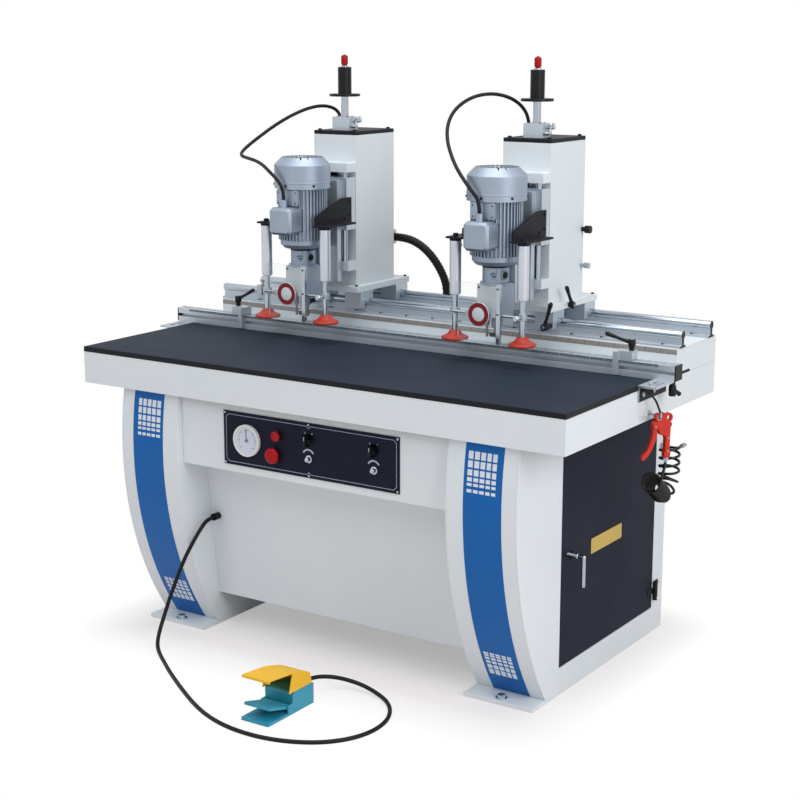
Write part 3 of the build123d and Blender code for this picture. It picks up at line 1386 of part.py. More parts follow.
gun_half = gun_thickness / 2
trigger_half = trigger_thickness / 2
ear = trigger_half + trigger_gap
gun = gun_plate(gun_outline, -gun_half, gun_half)
gun += gun_plate(ear_outline, -gun_half, -ear)
gun += gun_plate(ear_outline, ear, gun_half)
gun += gun_pin(*pivot, -gun_half, gun_half, trigger_pin_r)
gun -= gun_pin(0, 0, -gun_half - 1, gun_half + 1, gun_hole_r)
gun -= gun_pin(*gun_eye, -gun_half - 1, gun_half + 1, gun_eye_r)
nozzle_path = FilletPolyline(*[gun_point(u, w) for u, w in nozzle_places], radius=nozzle_bend)
nozzle = sweep(Plane(origin=nozzle_path @ 0, z_dir=nozzle_path % 0) * Circle(nozzle_r), path=nozzle_path)
gun += nozzle
gun_socket = gun_point(*socket_place)
gun += rod_z(gun_socket[0], gun_socket[1], gun_socket[2] - socket_length, gun_socket[2] + 1, socket_r)
save("air_gun", gun)

trigger = gun_plate(trigger_outline, -trigger_half, trigger_half)
trigger += gun_pin(*pivot, -trigger_half, trigger_half, trigger_hub_r)
trigger -= gun_pin(*pivot, -gun_half, gun_half, trigger_pin_r + trigger_play)
save("gun_trigger", trigger)

# Curly hose: tight coil sagging along Y, turning up into loose loops, then a tail to a fitting on the pedestal
hose_top = (gun_socket[0], gun_socket[1], gun_socket[2] - socket_length)
coil_z = gun_z - coil_drop
coil_start = Vector(hose_top[0] - coil_r, hose_top[1], coil_z)
fitting_y = leg_rear_y - fitting_inset
fitting_z = gun_z - fitting_drop


def coil_point(turn):
    """Centre of the hose after so many turns of the coil."""
    level = min(max(turn, 0), coil_turns) * coil_pitch
    sag = min(max(turn, 0), coil_turns) / coil_turns * coil_sag
    bent = min(max(turn - coil_turns, 0), bend_turns) / bend_turns * pi / 2
    rise = max(turn - coil_turns - bend_turns, 0) * rise_pitch
    axis = coil_start + Vector(0, level + bend_r * sin(bent), bend_r * (1 - cos(bent)) + rise - sag)
    across = Vector(0, sin(bent), -cos(bent))
    angle = 2 * pi * turn
    return axis + Vector(coil_r * cos(angle), 0, 0) + across * (coil_r * sin(angle))


def coil_tangent(turn):
    """Direction of the hose there."""
    return (coil_point(turn + 0.01) - coil_point(turn - 0.01)).normalized()


def biarc(p, t, q, u):
    """Two tangent arcs from point p along t to point q along u."""
    span = q - p
    both = t + u
    spread = 2 * (1 - t.dot(u))
    if spread < 1e-9:
        reach = span.dot(span) / (2 * span.dot(both))
    else:
        reach = (sqrt(span.dot(both) ** 2 + spread * span.dot(span)) - span.dot(both)) / spread
    joint = (p + t * reach + q - u * reach) * 0.5
    middle = ((q - u * reach) - (p + t * reach)).normalized()
    return [Edge.make_tangent_arc(p, t, joint), Edge.make_tangent_arc(joint, middle, q)]


down = Vector(0, 0, -1)
knots = [(Vector(*hose_top) + down * (2 * hose_r), down)]
knots.append((Vector(hose_top[0], hose_top[1], coil_z + 22), down))
all_turns = coil_turns + bend_turns + rise_turns
quarters = int(all_turns * 4)
for step in range(1, quarters + 1):
    knots.append((coil_point(step / 4), coil_tangent(step / 4)))
hose_end = Vector(leg_outer_x + fitting_reach, fitting_y, fitting_z)
knots.append((coil_point(all_turns), coil_tangent(all_turns)))
knots.append((Vector(872, 238, 672), Vector(-0.36, 0.92, -0.16).normalized()))
knots.append((Vector(828, 340, 640), Vector(-0.45, 0.82, -0.36).normalized()))
knots.append((hose_end + Vector(2 * hose_r, 0, 0), Vector(-1, 0, 0)))
hose_edges = [Edge.make_line(hose_top, knots[0][0])]
for (p, t), (q, u) in zip(knots, knots[1:]):
    straight = (q - p).normalized()
    if t.dot(straight) > 1 - 1e-9 and u.dot(straight) > 1 - 1e-9:
        hose_edges.append(Edge.make_line(p, q))
    else:
        hose_edges += biarc(p, t, q, u)
hose_edges.append(Edge.make_line(knots[-1][0], hose_end))
hose_path = Wire(hose_edges)
hose = sweep(Plane(origin=hose_top, z_dir=down) * Circle(hose_r), path=hose_path)
samples = [hose_path @ (i / 900) for i in range(901)]
spacing = hose_path.length / 900
skip = int(5 * hose_r / spacing) + 1
least = min((a - b).length for i, a in enumerate(samples) for b in samples[i + skip:])
print("hose length", round(hose_path.length), "least gap", round(least - 2 * hose_r, 2), "volume ratio",
      round(hose.volume / (pi * hose_r ** 2 * hose_path.length), 4))
fitting = rod_x(leg_outer_x, leg_outer_x + fitting_reach, fitting_y, fitting_z, fitting_r)
fitting += rod_x(leg_outer_x, leg_outer_x + fitting_nut, fitting_y, fitting_z, fitting_nut_r)
save("gun_hose", hose, fitting)
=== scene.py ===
# %% [markdown]
# # A hinge boring machine with two heads
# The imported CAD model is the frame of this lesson: every solid at its real size, grouped into the bodies
# that move.  Nothing here moves or resizes it.  A solid whose shape is right is copied with soft edges and
# real finishes, and a plain one gets a more detailed piece that stands for it.

# %% Load the frame
import json
from math import cos, hypot, pi, radians, sin, sqrt

import bmesh
import bpy
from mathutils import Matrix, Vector


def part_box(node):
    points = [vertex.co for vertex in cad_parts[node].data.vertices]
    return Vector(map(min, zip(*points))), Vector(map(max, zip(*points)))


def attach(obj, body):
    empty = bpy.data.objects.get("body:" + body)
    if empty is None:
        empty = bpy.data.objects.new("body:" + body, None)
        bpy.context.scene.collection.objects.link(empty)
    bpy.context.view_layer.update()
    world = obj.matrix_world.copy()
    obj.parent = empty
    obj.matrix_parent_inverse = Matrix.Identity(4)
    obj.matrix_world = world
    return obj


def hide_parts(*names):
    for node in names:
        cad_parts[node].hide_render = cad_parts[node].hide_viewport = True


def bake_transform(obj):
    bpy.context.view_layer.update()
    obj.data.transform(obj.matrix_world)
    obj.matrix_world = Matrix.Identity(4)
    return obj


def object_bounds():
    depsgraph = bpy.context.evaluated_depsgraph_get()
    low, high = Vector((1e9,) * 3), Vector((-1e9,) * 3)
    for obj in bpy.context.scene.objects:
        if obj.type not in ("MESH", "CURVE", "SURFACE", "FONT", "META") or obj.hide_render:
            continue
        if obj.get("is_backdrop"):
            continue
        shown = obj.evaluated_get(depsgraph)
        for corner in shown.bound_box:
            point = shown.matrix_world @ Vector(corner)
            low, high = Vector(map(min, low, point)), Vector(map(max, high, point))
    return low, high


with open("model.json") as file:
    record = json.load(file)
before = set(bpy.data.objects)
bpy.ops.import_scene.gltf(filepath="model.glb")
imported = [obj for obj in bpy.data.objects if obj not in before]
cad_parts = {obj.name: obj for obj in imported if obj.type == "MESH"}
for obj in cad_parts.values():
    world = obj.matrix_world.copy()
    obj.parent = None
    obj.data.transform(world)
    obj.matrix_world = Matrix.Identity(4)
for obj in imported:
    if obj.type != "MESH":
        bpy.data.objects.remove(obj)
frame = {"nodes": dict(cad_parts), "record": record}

MM = 0.001
UP, DOWN, FRONT, BACK, RIGHT = (0, 0, 1), (0, 0, -1), (0, -1, 0), (0, 1, 0), (1, 0, 0)
scene = bpy.context.scene
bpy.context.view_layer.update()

# %% [markdown]
# ## Camera
# A product photograph like this is taken from a few metres away with a long lens, so that verticals stay
# nearly parallel.  The place and the focal length were solved from table corners, feet and rail ends.

# %% Camera
photo_px = 800
focal_px = 1653.65
sensor_mm = 36.0
azimuth = radians(33.594)
elevation = radians(12.539)
backward = Vector((sin(azimuth) * cos(elevation), -cos(azimuth) * cos(elevation), sin(elevation)))
camera = bpy.data.objects.new("camera", bpy.data.cameras.new("camera"))
camera.data.sensor_width = sensor_mm
camera.data.lens = sensor_mm * focal_px / photo_px
camera.location = (2.7985, -4.1862, 1.8625)
camera.rotation_euler = (-backward).to_track_quat("-Z", "Y").to_euler()
scene.collection.objects.link(camera)
scene.camera = camera
print("lens", round(camera.data.lens, 1), "mm")

# %% [markdown]
# ## Colour and nodes
# Colours are read off as sRGB hex values and the shader works in linear light, so one function turns the
# first into the second.  One small function adds a shader node with its settings and links; every
# material below is built with it.


# %% Colour and node helpers
def linear(code):
    """Linear RGBA of an sRGB hex colour."""
    shares = [int(code[i:i + 2], 16) / 255 for i in (1, 3, 5)]
    return [c / 12.92 if c <= 0.04045 else ((c + 0.055) / 1.055) ** 2.4 for c in shares] + [1.0]


def add_node(tree, kind, settings=None):
    """Adds a node; a setting is a property, the value of an input or the socket that feeds that input."""
    node = tree.nodes.new(kind)
    for key, value in (settings or {}).items():
        if isinstance(value, bpy.types.NodeSocket):
            tree.links.new(value, node.inputs[key])
        elif isinstance(key, int) or key in node.inputs:
            node.inputs[key].default_value = value
        else:
            setattr(node, key, value)
    return node


def maths(tree, operation, first, second):
    return add_node(tree, "ShaderNodeMath", {"operation": operation, 0: first, 1: second}).outputs[0]


def mixed(tree, share, first, second):
    """Colour between two others."""
    return add_node(tree, "ShaderNodeMix", {"data_type": "RGBA", 0: share, 6: first, 7: second}).outputs[2]


def noise(tree, place, scale, detail):
    return add_node(tree, "ShaderNodeTexNoise",
                    {"Scale": scale, "Detail": detail, "Vector": place}).outputs["Fac"]


def bare_material(name, code, roughness, metallic=0.0, specular=0.5, alpha=1.0):
    """A material with even values; returns it with its tree, shader and place in the part's frame."""
    material = bpy.data.materials.new(name)
    material.use_nodes = True
    tree = material.node_tree
    shader = tree.nodes["Principled BSDF"]
    values = {"Base Color": linear(code), "Roughness": roughness, "Metallic": metallic,
              "Specular IOR Level": specular, "Alpha": alpha}
    for key, value in values.items():
        shader.inputs[key].default_value = value
    place = add_node(tree, "ShaderNodeTexCoord").outputs["Object"]
    return material, tree, shader, place


def surface(name, code, other, patch_mm, roughness, grain_mm, depth_mm, stretch=(1, 1, 1), metallic=0.0,
            specular=0.5):
    """A finish with broad patches between two colours and a fine raised grain, drawn out by stretch."""
    material, tree, shader, place = bare_material(name, code, roughness[0], metallic, specular)
    patches = noise(tree, place, 1 / (patch_mm * MM), 3.0)
    shine = add_node(tree, "ShaderNodeMapRange",
                     {"To Min": roughness[0], "To Max": roughness[1], "Value": patches})
    drawn = add_node(tree, "ShaderNodeMapping",
                     {"Scale": [1 / (grain_mm * MM * s) for s in stretch], "Vector": place})
    bump = add_node(tree, "ShaderNodeBump", {"Distance": depth_mm * MM, "Strength": 1.0,
                                             "Height": noise(tree, drawn.outputs[0], 1.0, 2.0)})
    tree.links.new(mixed(tree, patches, linear(code), linear(other)), shader.inputs["Base Color"])
    tree.links.new(shine.outputs[0], shader.inputs["Roughness"])
    tree.links.new(bump.outputs[0], shader.inputs["Normal"])
    return material


print("white paint reads", [round(c, 3) for c in linear("#E2E7EA")[:3]])

# %% [markdown]
# ## Finishes
# Each finish starts from what the real one is and how it was made.  Powder coat is sprayed on dry and
# baked, which leaves an orange peel of a millimetre or two.  Extrusions carry fine drawn lines along
# their length, ground shafts shine, castings are sandy under their silver paint, and moulded plastic has
# a light spark texture.  Grain that is finer than a pixel is drawn a little coarser, so that it shows.

# %% Painted and laminated finishes
cad_finishes = len(bpy.data.materials)
white_coat = surface("white powder coat", "#E2E7EA", "#D9E0E4", 220, (0.4, 0.5), 3.0, 0.05, specular=0.35)
navy_coat = surface("navy powder coat", "#171A2C", "#131626", 160, (0.55, 0.66), 3.0, 0.05, specular=0.12)
black_coat = surface("black enamel on steel", "#12141C", "#0D0F15", 60, (0.5, 0.62), 2.5, 0.05, specular=0.2)
silver_coat = surface("silver paint on cast aluminium", "#9FABBA", "#8E9AAA", 45, (0.42, 0.52), 2.0, 0.05,
                      metallic=0.7)
laminate = surface("black laminate board", "#222B39", "#1C2430", 260, (0.6, 0.72), 2.2, 0.03, specular=0.12)
edge_band = surface("black edge band", "#0F1319", "#0B0E13", 90, (0.5, 0.62), 2.0, 0.03, specular=0.2)
print("paints", len(bpy.data.materials) - cad_finishes)

# %% Metals
extruded = surface("anodised aluminium extrusion", "#C2CAD2", "#B1BAC3", 120, (0.3, 0.42), 1.2, 0.02,
                   stretch=(60, 1, 1), metallic=0.6)
ground_steel = surface("ground steel shaft", "#BAC3CB", "#A6B0B9", 90, (0.14, 0.22), 1.0, 0.006,
                       stretch=(1, 40, 40), metallic=1.0)
turned_aluminium = surface("turned aluminium tube", "#CDD1D9", "#C0C5CE", 70, (0.28, 0.38), 1.0, 0.015,
                           stretch=(20, 20, 1), metallic=0.85)
zinc_steel = surface("zinc plated steel", "#B9BEC4", "#9FA6AE", 18, (0.26, 0.4), 1.5, 0.02, metallic=0.95)
tool_steel = surface("ground tool steel", "#8B8F94", "#6F747A", 12, (0.22, 0.36), 0.8, 0.02, metallic=1.0)
chrome = surface("polished chrome", "#B3BBC4", "#A4ADB7", 60, (0.08, 0.14), 2.0, 0.004, metallic=1.0)
black_oxide = surface("black oxide steel", "#121318", "#0C0D11", 20, (0.36, 0.48), 1.0, 0.02, metallic=0.2,
                      specular=0.25)
print("with metals", len(bpy.data.materials) - cad_finishes)

# %% Plastics and rubber
black_plastic = surface("moulded black nylon", "#0E0F12", "#090A0C", 30, (0.4, 0.52), 1.2, 0.03,
                        specular=0.25)
red_plastic = surface("moulded red plastic", "#A8121B", "#960E16", 25, (0.36, 0.46), 1.5, 0.02,
                      specular=0.18)
red_rubber = surface("red rubber pad", "#B8321F", "#A82B1B", 30, (0.42, 0.55), 1.5, 0.05)
gun_plastic = surface("gloss red nylon", "#CC2E1B", "#BE2917", 30, (0.3, 0.4), 1.5, 0.02, specular=0.35)
teal_plastic = surface("teal moulded plastic", "#2E9DB8", "#278FA9", 35, (0.4, 0.52), 1.3, 0.05)
yellow_plastic = surface("yellow moulded plastic", "#F6BF08", "#EBB204", 35, (0.36, 0.48), 1.3, 0.04)
cord_rubber = surface("black cord jacket", "#0D0E11", "#090A0C", 40, (0.42, 0.56), 1.2, 0.03, specular=0.22)
hose_plastic = surface("black polyurethane hose", "#0B0C0F", "#08090B", 40, (0.2, 0.28), 1.2, 0.01,
                       specular=0.36)
print("with plastics", len(bpy.data.materials) - cad_finishes)

# %% Films, ink and enamel
blue_vinyl = surface("blue vinyl film", "#0B62AD", "#095BA3", 120, (0.3, 0.38), 4.0, 0.01, specular=0.2)
white_vinyl = surface("white vinyl film", "#DDE4E9", "#D5DDE3", 60, (0.26, 0.34), 4.0, 0.01)
yellow_plate = surface("printed yellow aluminium plate", "#C9A93F", "#BE9F38", 25, (0.34, 0.44), 2.0, 0.01)
ink_white = surface("white ink", "#AEB4C2", "#A4AAB8", 20, (0.45, 0.55), 2.0, 0.01)
dial_white = surface("white enamelled dial", "#CFD9EA", "#C6D1E4", 20, (0.4, 0.5), 2.0, 0.01)
dial_ink = surface("black dial ink", "#22262E", "#1B1E25", 20, (0.5, 0.6), 2.0, 0.01)
bezel_white = surface("white enamelled bezel", "#E4E3E2", "#DBDAD8", 20, (0.3, 0.4), 2.0, 0.02)
disc_red = surface("red printed film", "#84191F", "#781A20", 20, (0.45, 0.55), 2.0, 0.01, specular=0.3)
print("finishes", len(bpy.data.materials) - cad_finishes)

# %% [markdown]
# ## Clear guard and scale tape
# The guard is a sheet of polycarbonate: nearly all light goes straight through, so a low alpha with a
# sharp gloss shows it better than refraction would on a sheet this thin.  The scale tape is etched steel
# tape with a tick every millimetre; a tick every ten, with a taller one every fifty, is what still shows.

# %% Clear sheet and scale tape
clear_sheet = bare_material("clear polycarbonate", "#E6F0F2", 0.04, alpha=0.05)[0]
guard_edge = bare_material("polished polycarbonate edge", "#DDE7EA", 0.1, alpha=0.7)[0]
gauge_glass = bare_material("gauge glass", "#F4F8FA", 0.03, alpha=0.12)[0]


def tape_material(name, low_mm, height_mm, metal, worn, ticks_in):
    """Etched tape on a face along X; ticks rise from its lower edge, which lies at height low_mm."""
    material, tree, shader, place = bare_material(name, metal, 0.42, 0.3)
    axes = add_node(tree, "ShaderNodeSeparateXYZ", {0: place}).outputs
    ticks = 0.0
    for spacing_mm, width_mm, rise in ((10.0, 1.6, 0.5), (50.0, 2.6, 0.85)):
        step = maths(tree, "FLOORED_MODULO", axes["X"], spacing_mm * MM)
        line = maths(tree, "LESS_THAN", step, width_mm * MM)
        reach = maths(tree, "LESS_THAN", axes["Z"], (low_mm + height_mm * rise) * MM)
        ticks = maths(tree, "MAXIMUM", maths(tree, "MULTIPLY", line, reach), ticks)
    steel = mixed(tree, noise(tree, place, 60.0, 4.0), linear(metal), linear(worn))
    tree.links.new(mixed(tree, ticks, steel, linear(ticks_in)), shader.inputs["Base Color"])
    return material


print("clear finishes ready:", clear_sheet.name, "and", gauge_glass.name)

# %% [markdown]
# ## Building pieces
# A piece is drawn in millimetres with bmesh.  Three ways of making cover most of a machine: a brick, a
# shape turned on a lathe and an outline pushed along an axis.  A pipe follows points with its own radius
# at each.  All of them are rings of points with a skin drawn over them.


# %% Drawing helpers
def along_x(u, v, w):
    return (w, u, v)


def along_y(u, v, w):
    return (u, w, v)


def along_z(u, v, w):
    return (u, v, w)


def skin(bm, rings, finish=0, closed=False):
    """Faces from ring to ring with flat ends, or round to the first ring; a ring can be a single point."""
    count = max(len(ring) for ring in rings)
    rings = [[bm.verts.new(p) for p in ring] for ring in rings]
    faces = [bm.faces.new(ring) for ring in (rings[0], rings[-1]) if len(ring) > 1 and not closed]
    for a, b in zip(rings, rings[1:] + rings[:1] if closed else rings[1:]):
        for k in range(count):
            corners = [a[k % len(a)], a[(k + 1) % len(a)], b[(k + 1) % len(b)], b[k % len(b)]]
            faces.append(bm.faces.new(list(dict.fromkeys(corners))))
    for face in faces:
        face.material_index = finish
    bmesh.ops.recalc_face_normals(bm, faces=faces)


def push(bm, outline, plane, start, end, finish=0):
    """Outline of (u, v) points pushed from start to end along the plane's normal."""
    skin(bm, [[plane(u, v, w) for u, v in outline] for w in (start, end)], finish)


def brick(bm, low, high, finish=0):
    """Box between two corners."""
    outline = [(low[0], low[1]), (high[0], low[1]), (high[0], high[1]), (low[0], high[1])]
    push(bm, outline, along_z, low[2], high[2], finish)


def turned(bm, profile, base, axis, finish=0, steps=48):
    """Profile of (radius, height) points turned about an axis from base; a closed profile makes a ring."""
    turn = Vector(axis).to_track_quat("Z", "Y")
    hollow = profile[0] == profile[-1]
    rings = []
    for r, h in profile[:-1] if hollow else profile:
        count = steps if r > 0 else 1
        turns = [2 * pi * k / count for k in range(count)]
        rings.append([Vector(base) + turn @ Vector((r * cos(a), r * sin(a), h)) for a in turns])
    skin(bm, rings, finish, hollow)


def pipe(bm, points, radii, finish=0, steps=16):
    """Round bar through points, with one radius or a radius at each."""
    line = [Vector(p) for p in points]
    turns = [2 * pi * k / steps for k in range(steps)]
    side = None
    rings = []
    for i, p in enumerate(line):
        ahead = (line[min(i + 1, len(line) - 1)] - line[max(i - 1, 0)]).normalized()
        if side is None:
            side = ahead.orthogonal().normalized()
        side = (side - ahead * side.dot(ahead)).normalized()
        across = ahead.cross(side)
        r = radii[i] if isinstance(radii, list) else radii
        rings.append([p + (side * cos(a) + across * sin(a)) * r for a in turns])
    skin(bm, rings, finish)


def rounded(half_u, half_v, r, middle, steps=6):
    """Rectangle outline with rounded corners, about its middle; one step cuts the corners straight."""
    points = []
    for quarter, (su, sv) in enumerate(((1, 1), (-1, 1), (-1, -1), (1, -1))):
        for k in range(steps + 1):
            a = (quarter + k / steps) * pi / 2
            points.append((middle[0] + su * (half_u - r) + r * cos(a),
                           middle[1] + sv * (half_v - r) + r * sin(a)))
    return points


def corners_of(half_u, half_v):
    return [(u, v) for u in (-half_u, half_u) for v in (-half_v, half_v)]


def socket_screw(bm, place, axis, r, finish=0):
    """Socket head cap screw: the knurled head is left plain and its socket is cut in."""
    profile = [(r, 0), (r, 0.85 * r), (0.85 * r, r), (0.5 * r, r), (0.45 * r, 0.5 * r), (0, 0.5 * r)]
    turned(bm, profile, place, axis, finish, 12)


print("a rounded outline has", len(rounded(20, 10, 3, (0, 0))), "points")

# %% [markdown]
# ### Soft edges and dressed nodes
# A real workshop breaks every edge, so each sharp one gets a small bevel, as wide as the faces beside it
# have room for.  A dressed node is a welded copy of a CAD solid, so its faces can take several finishes
# and its edges the same bevel.


# %% Piece helpers
SHARP_DEG = 35.0


def room(face, edge):
    """How deep a face is from one of its edges, or how wide it is where it winds about."""
    start, end = (v.co for v in edge.verts)
    along = (end - start).normalized()
    depth = max((v.co - start - along * (v.co - start).dot(along)).length for v in face.verts)
    if len(face.verts) > 4:
        depth = min(depth, 2 * face.calc_area() / face.calc_perimeter())
    return depth


def mark_edges(bm, bevel_mm, sharp_deg):
    """Gives each sharp edge the share of the bevel that both of its faces have room for."""
    share = bm.edges.layers.float.new("bevel_weight_edge")
    bm.normal_update()
    for edge in bm.edges:
        if edge.is_manifold and edge.calc_face_angle() > radians(sharp_deg):
            edge[share] = min(1.0, 0.42 * min(room(face, edge) for face in edge.link_faces) / bevel_mm)


def new_object(name, bm, finishes):
    """Smooth object from a bmesh in millimetres."""
    bmesh.ops.scale(bm, vec=(MM, MM, MM), verts=bm.verts)
    mesh = bpy.data.meshes.new(name)
    bm.to_mesh(mesh)
    bm.free()
    for polygon in mesh.polygons:
        polygon.use_smooth = True
    for material in finishes:
        mesh.materials.append(material)
    made = bpy.data.objects.new(name, mesh)
    scene.collection.objects.link(made)
    return made


def make_piece(name, bm, body, finishes, bevel_mm=0.0, segments=2, replaced=(), sharp_deg=SHARP_DEG):
    """Turns a bmesh in millimetres into a piece that rides on a body."""
    if bevel_mm:
        mark_edges(bm, bevel_mm, sharp_deg)
    piece = new_object(name, bm, finishes)
    if bevel_mm:
        soft = piece.modifiers.new("soft edges", "BEVEL")
        soft.width = bevel_mm * MM
        soft.segments = segments
        soft.limit_method = "WEIGHT"
        soft.use_clamp_overlap = False
        piece.modifiers.new("even shading", "WEIGHTED_NORMAL")
    else:
        piece.data.set_sharp_from_angle(angle=radians(sharp_deg))
    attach(piece, body)
    if replaced:
        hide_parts(*replaced)
    return piece


print("edges are softened from", SHARP_DEG, "degrees")

# %% Dressed nodes
node_body = {node: body for body, nodes in frame["record"]["behaviour"]["bodies"].items() for node in nodes}


def weld_solids(mesh):
    """Welds a CAD mesh solid by solid, in millimetres; a solid is whole when no edge of it is left open."""
    bm = bmesh.new()
    number = bm.faces.layers.int.new("solid")
    boxes, corners, loose = [], {}, set()
    for polygon in mesh.polygons:
        keys = [tuple(round(c / MM, 2) for c in mesh.vertices[i].co) for i in polygon.vertices]
        if len(set(keys)) == len(keys):
            for key in keys:
                if key not in corners:
                    corners[key] = bm.verts.new(key)
            bm.faces.new([corners[key] for key in keys])[number] = len(boxes)
            for a, b in zip(keys, keys[1:] + keys[:1]):
                loose ^= {(b, a)} if (b, a) in loose else {(a, b)}
        if corners and not loose:
            boxes.append((Vector(map(min, *corners)), Vector(map(max, *corners))))
            corners = {}
    bmesh.ops.dissolve_limit(bm, angle_limit=radians(0.3), verts=bm.verts, edges=bm.edges)
    return bm, number, boxes


def dress(node, name, rules, bevel_mm=0.6, segments=2, keep=None):
    """Soft-edged copy of a CAD node.  The rules are one finish, or finishes with a test on a face's middle
    and its solid's box; keep is a test on that box."""
    if not isinstance(rules, list):
        rules = [(rules, None)]
    bm, number, boxes = weld_solids(frame["nodes"][node].data)
    spare = []
    for face in bm.faces:
        low, high = boxes[face[number]]
        if keep and not keep(low, high):
            spare.append(face)
            continue
        middle = face.calc_center_median()
        for index, (_, test) in enumerate(rules):
            if test is None or test(middle, low, high):
                face.material_index = index
                break
    bmesh.ops.delete(bm, geom=spare, context="FACES")
    return make_piece(name, bm, node_body[node], [finish for finish, _ in rules], bevel_mm,
                      segments, [node])


def size_of(node):
    """Size of a CAD node in metres, to print beside what was made of it."""
    low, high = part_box(node)
    return [round(c, 3) for c in high - low]


print("body of the board:", node_body["table_board"], size_of("table_board"))

# %% [markdown]
# ## Floor and light
# The photograph is cut out on white with a soft shadow under the machine.  Under the machine the floor
# shows its own lit colour with some plain white to the camera, so the shadow stays light, and a step
# away it is all white.  Three large soft lamps and an even sky light the machine at a plain level.

# %% Floor
scene.view_settings.view_transform = "Standard"
floor_half_m = 30.0
footprint_m = (0.66, 0.44, 0.0)
floor_mesh = bpy.data.meshes.new("floor")
floor_mesh.from_pydata([(-floor_half_m, -floor_half_m, 0), (floor_half_m, -floor_half_m, 0),
                        (floor_half_m, floor_half_m, 0), (-floor_half_m, floor_half_m, 0)], [],
                       [(0, 1, 2, 3)])
floor = bpy.data.objects.new("floor", floor_mesh)
floor.location.z = -0.0005
scene.collection.objects.link(floor)
floor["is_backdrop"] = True


def seen_directly(tree):
    """One for camera, mirror and glass rays, nought for the light that falls on the object."""
    rays = add_node(tree, "ShaderNodeLightPath").outputs
    bright = maths(tree, "MAXIMUM", rays["Is Camera Ray"], rays["Is Glossy Ray"])
    return maths(tree, "MAXIMUM", bright, rays["Is Transmission Ray"])


def vector_maths(tree, operation, first, second=(0.0, 0.0, 0.0)):
    return add_node(tree, "ShaderNodeVectorMath", {"operation": operation, 0: first, 1: second}).outputs


floor_paint, tree, shader, place = bare_material("pale studio floor", "#EFE7E5", 0.9)
floor_mesh.materials.append(floor_paint)
aside = vector_maths(tree, "ABSOLUTE", place)[0]
past = vector_maths(tree, "MAXIMUM", vector_maths(tree, "SUBTRACT", aside, footprint_m)[0])[0]
distance = vector_maths(tree, "LENGTH", past)["Value"]
fade = add_node(tree, "ShaderNodeMapRange",
                {"From Max": 0.22, "To Min": 0.38, "To Max": 1.0, "Value": distance}).outputs[0]
share = maths(tree, "MULTIPLY", seen_directly(tree), fade)
white = add_node(tree, "ShaderNodeEmission", {"Color": (1, 1, 1, 1), "Strength": 1.0}).outputs[0]
both = add_node(tree, "ShaderNodeMixShader", {0: share, 1: shader.outputs[0], 2: white}).outputs[0]
tree.links.new(both, tree.nodes["Material Output"].inputs["Surface"])
print("floor", 2 * floor_half_m, "m wide")

# %% Sky and lamps
sky = bpy.data.worlds.new("studio sky")
sky.use_nodes = True
scene.world = sky
tree = sky.node_tree
even = tree.nodes["Background"]
even.inputs["Color"].default_value = linear("#EBF1F6")
even.inputs["Strength"].default_value = 0.46
white = add_node(tree, "ShaderNodeBackground", {"Color": (1, 1, 1, 1), "Strength": 1.0}).outputs[0]
both = add_node(tree, "ShaderNodeMixShader",
                {0: seen_directly(tree), 1: even.outputs[0], 2: white}).outputs[0]
tree.links.new(both, tree.nodes["World Output"].inputs["Surface"])
lamp_target = Vector((0, 0, 0.9))
for name, spot, size_m, watts in (("front soft box", (-1.2, -4.0, 4.2), 2.6, 52),
                                  ("side soft box", (4.6, -1.4, 2.8), 2.4, 98),
                                  ("top soft box", (0.4, -0.4, 4.6), 3.0, 90)):
    lamp = bpy.data.objects.new(name, bpy.data.lights.new(name, "AREA"))
    lamp.data.size = size_m
    lamp.data.energy = watts
    lamp.location = spot
    lamp.rotation_euler = (lamp_target - Vector(spot)).to_track_quat("-Z", "Y").to_euler()
    scene.collection.objects.link(lamp)
print("lamps", len(bpy.data.lights))

# %% [markdown]
# ## Cords
# A cord is a fixed length of something flexible.  Its route is a list of given points, which are
# the control points of a smooth NURBS line.  The motor cables and the conduit join two bodies, so they
# are tubes of mesh along that line, fixed in place and carried by neither body.  The air hose is a helix and
# then a tail.


# %% Cord helpers
def nurbs(name, points):
    """Curve of one open NURBS spline with these control points, given in millimetres."""
    data = bpy.data.curves.new(name, "CURVE")
    data.dimensions = "3D"
    data.resolution_u = 8
    spline = data.splines.new("NURBS")
    spline.points.add(len(points) - 1)
    for point, place in zip(spline.points, points):
        point.co = (*(Vector(place) * MM), 1.0)
    spline.order_u = 3
    spline.use_endpoint_u = True
    curve = bpy.data.objects.new(name, data)
    scene.collection.objects.link(curve)
    return curve


def round_cord(name, points, r_mm, node, finish, **facts):
    """A cord that stays on one body."""
    curve = nurbs(name, points)
    curve.data.bevel_depth = r_mm * MM
    curve.data.bevel_resolution = 5
    curve.data.use_fill_caps = True
    curve.data.materials.append(finish)
    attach(curve, node_body[node])
    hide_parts(node)


def bridging_cord(name, points, r_mm, node, bodies, rib_mm=0.0, **facts):
    """A mesh tube along the smooth line between two bodies, fixed in place."""
    curve = nurbs(name + "_line", points)
    bpy.context.view_layer.update()
    line = [v.co.copy() for v in bpy.data.meshes.new_from_object(curve).vertices]
    bpy.data.objects.remove(curve)
    bm = bmesh.new()
    radii = [r_mm - (rib_mm if i % 2 else 0.0) for i in range(len(line))]
    pipe(bm, [p / MM for p in line], radii, 0, 20)
    tube = new_object(name, bm, [cord_rubber])
    for polygon in tube.data.polygons:
        polygon.use_smooth = len(polygon.vertices) == 4
    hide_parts(node)
    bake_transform(tube)


print("cord jacket:", cord_rubber.name)

# %% [markdown]
# ### Motor cables and conduit
# Each motor cable leaves a gland on the column's top plate, bows out and drops into the gland on the
# terminal box.  The conduit arches from the box behind the left column down to the bed.

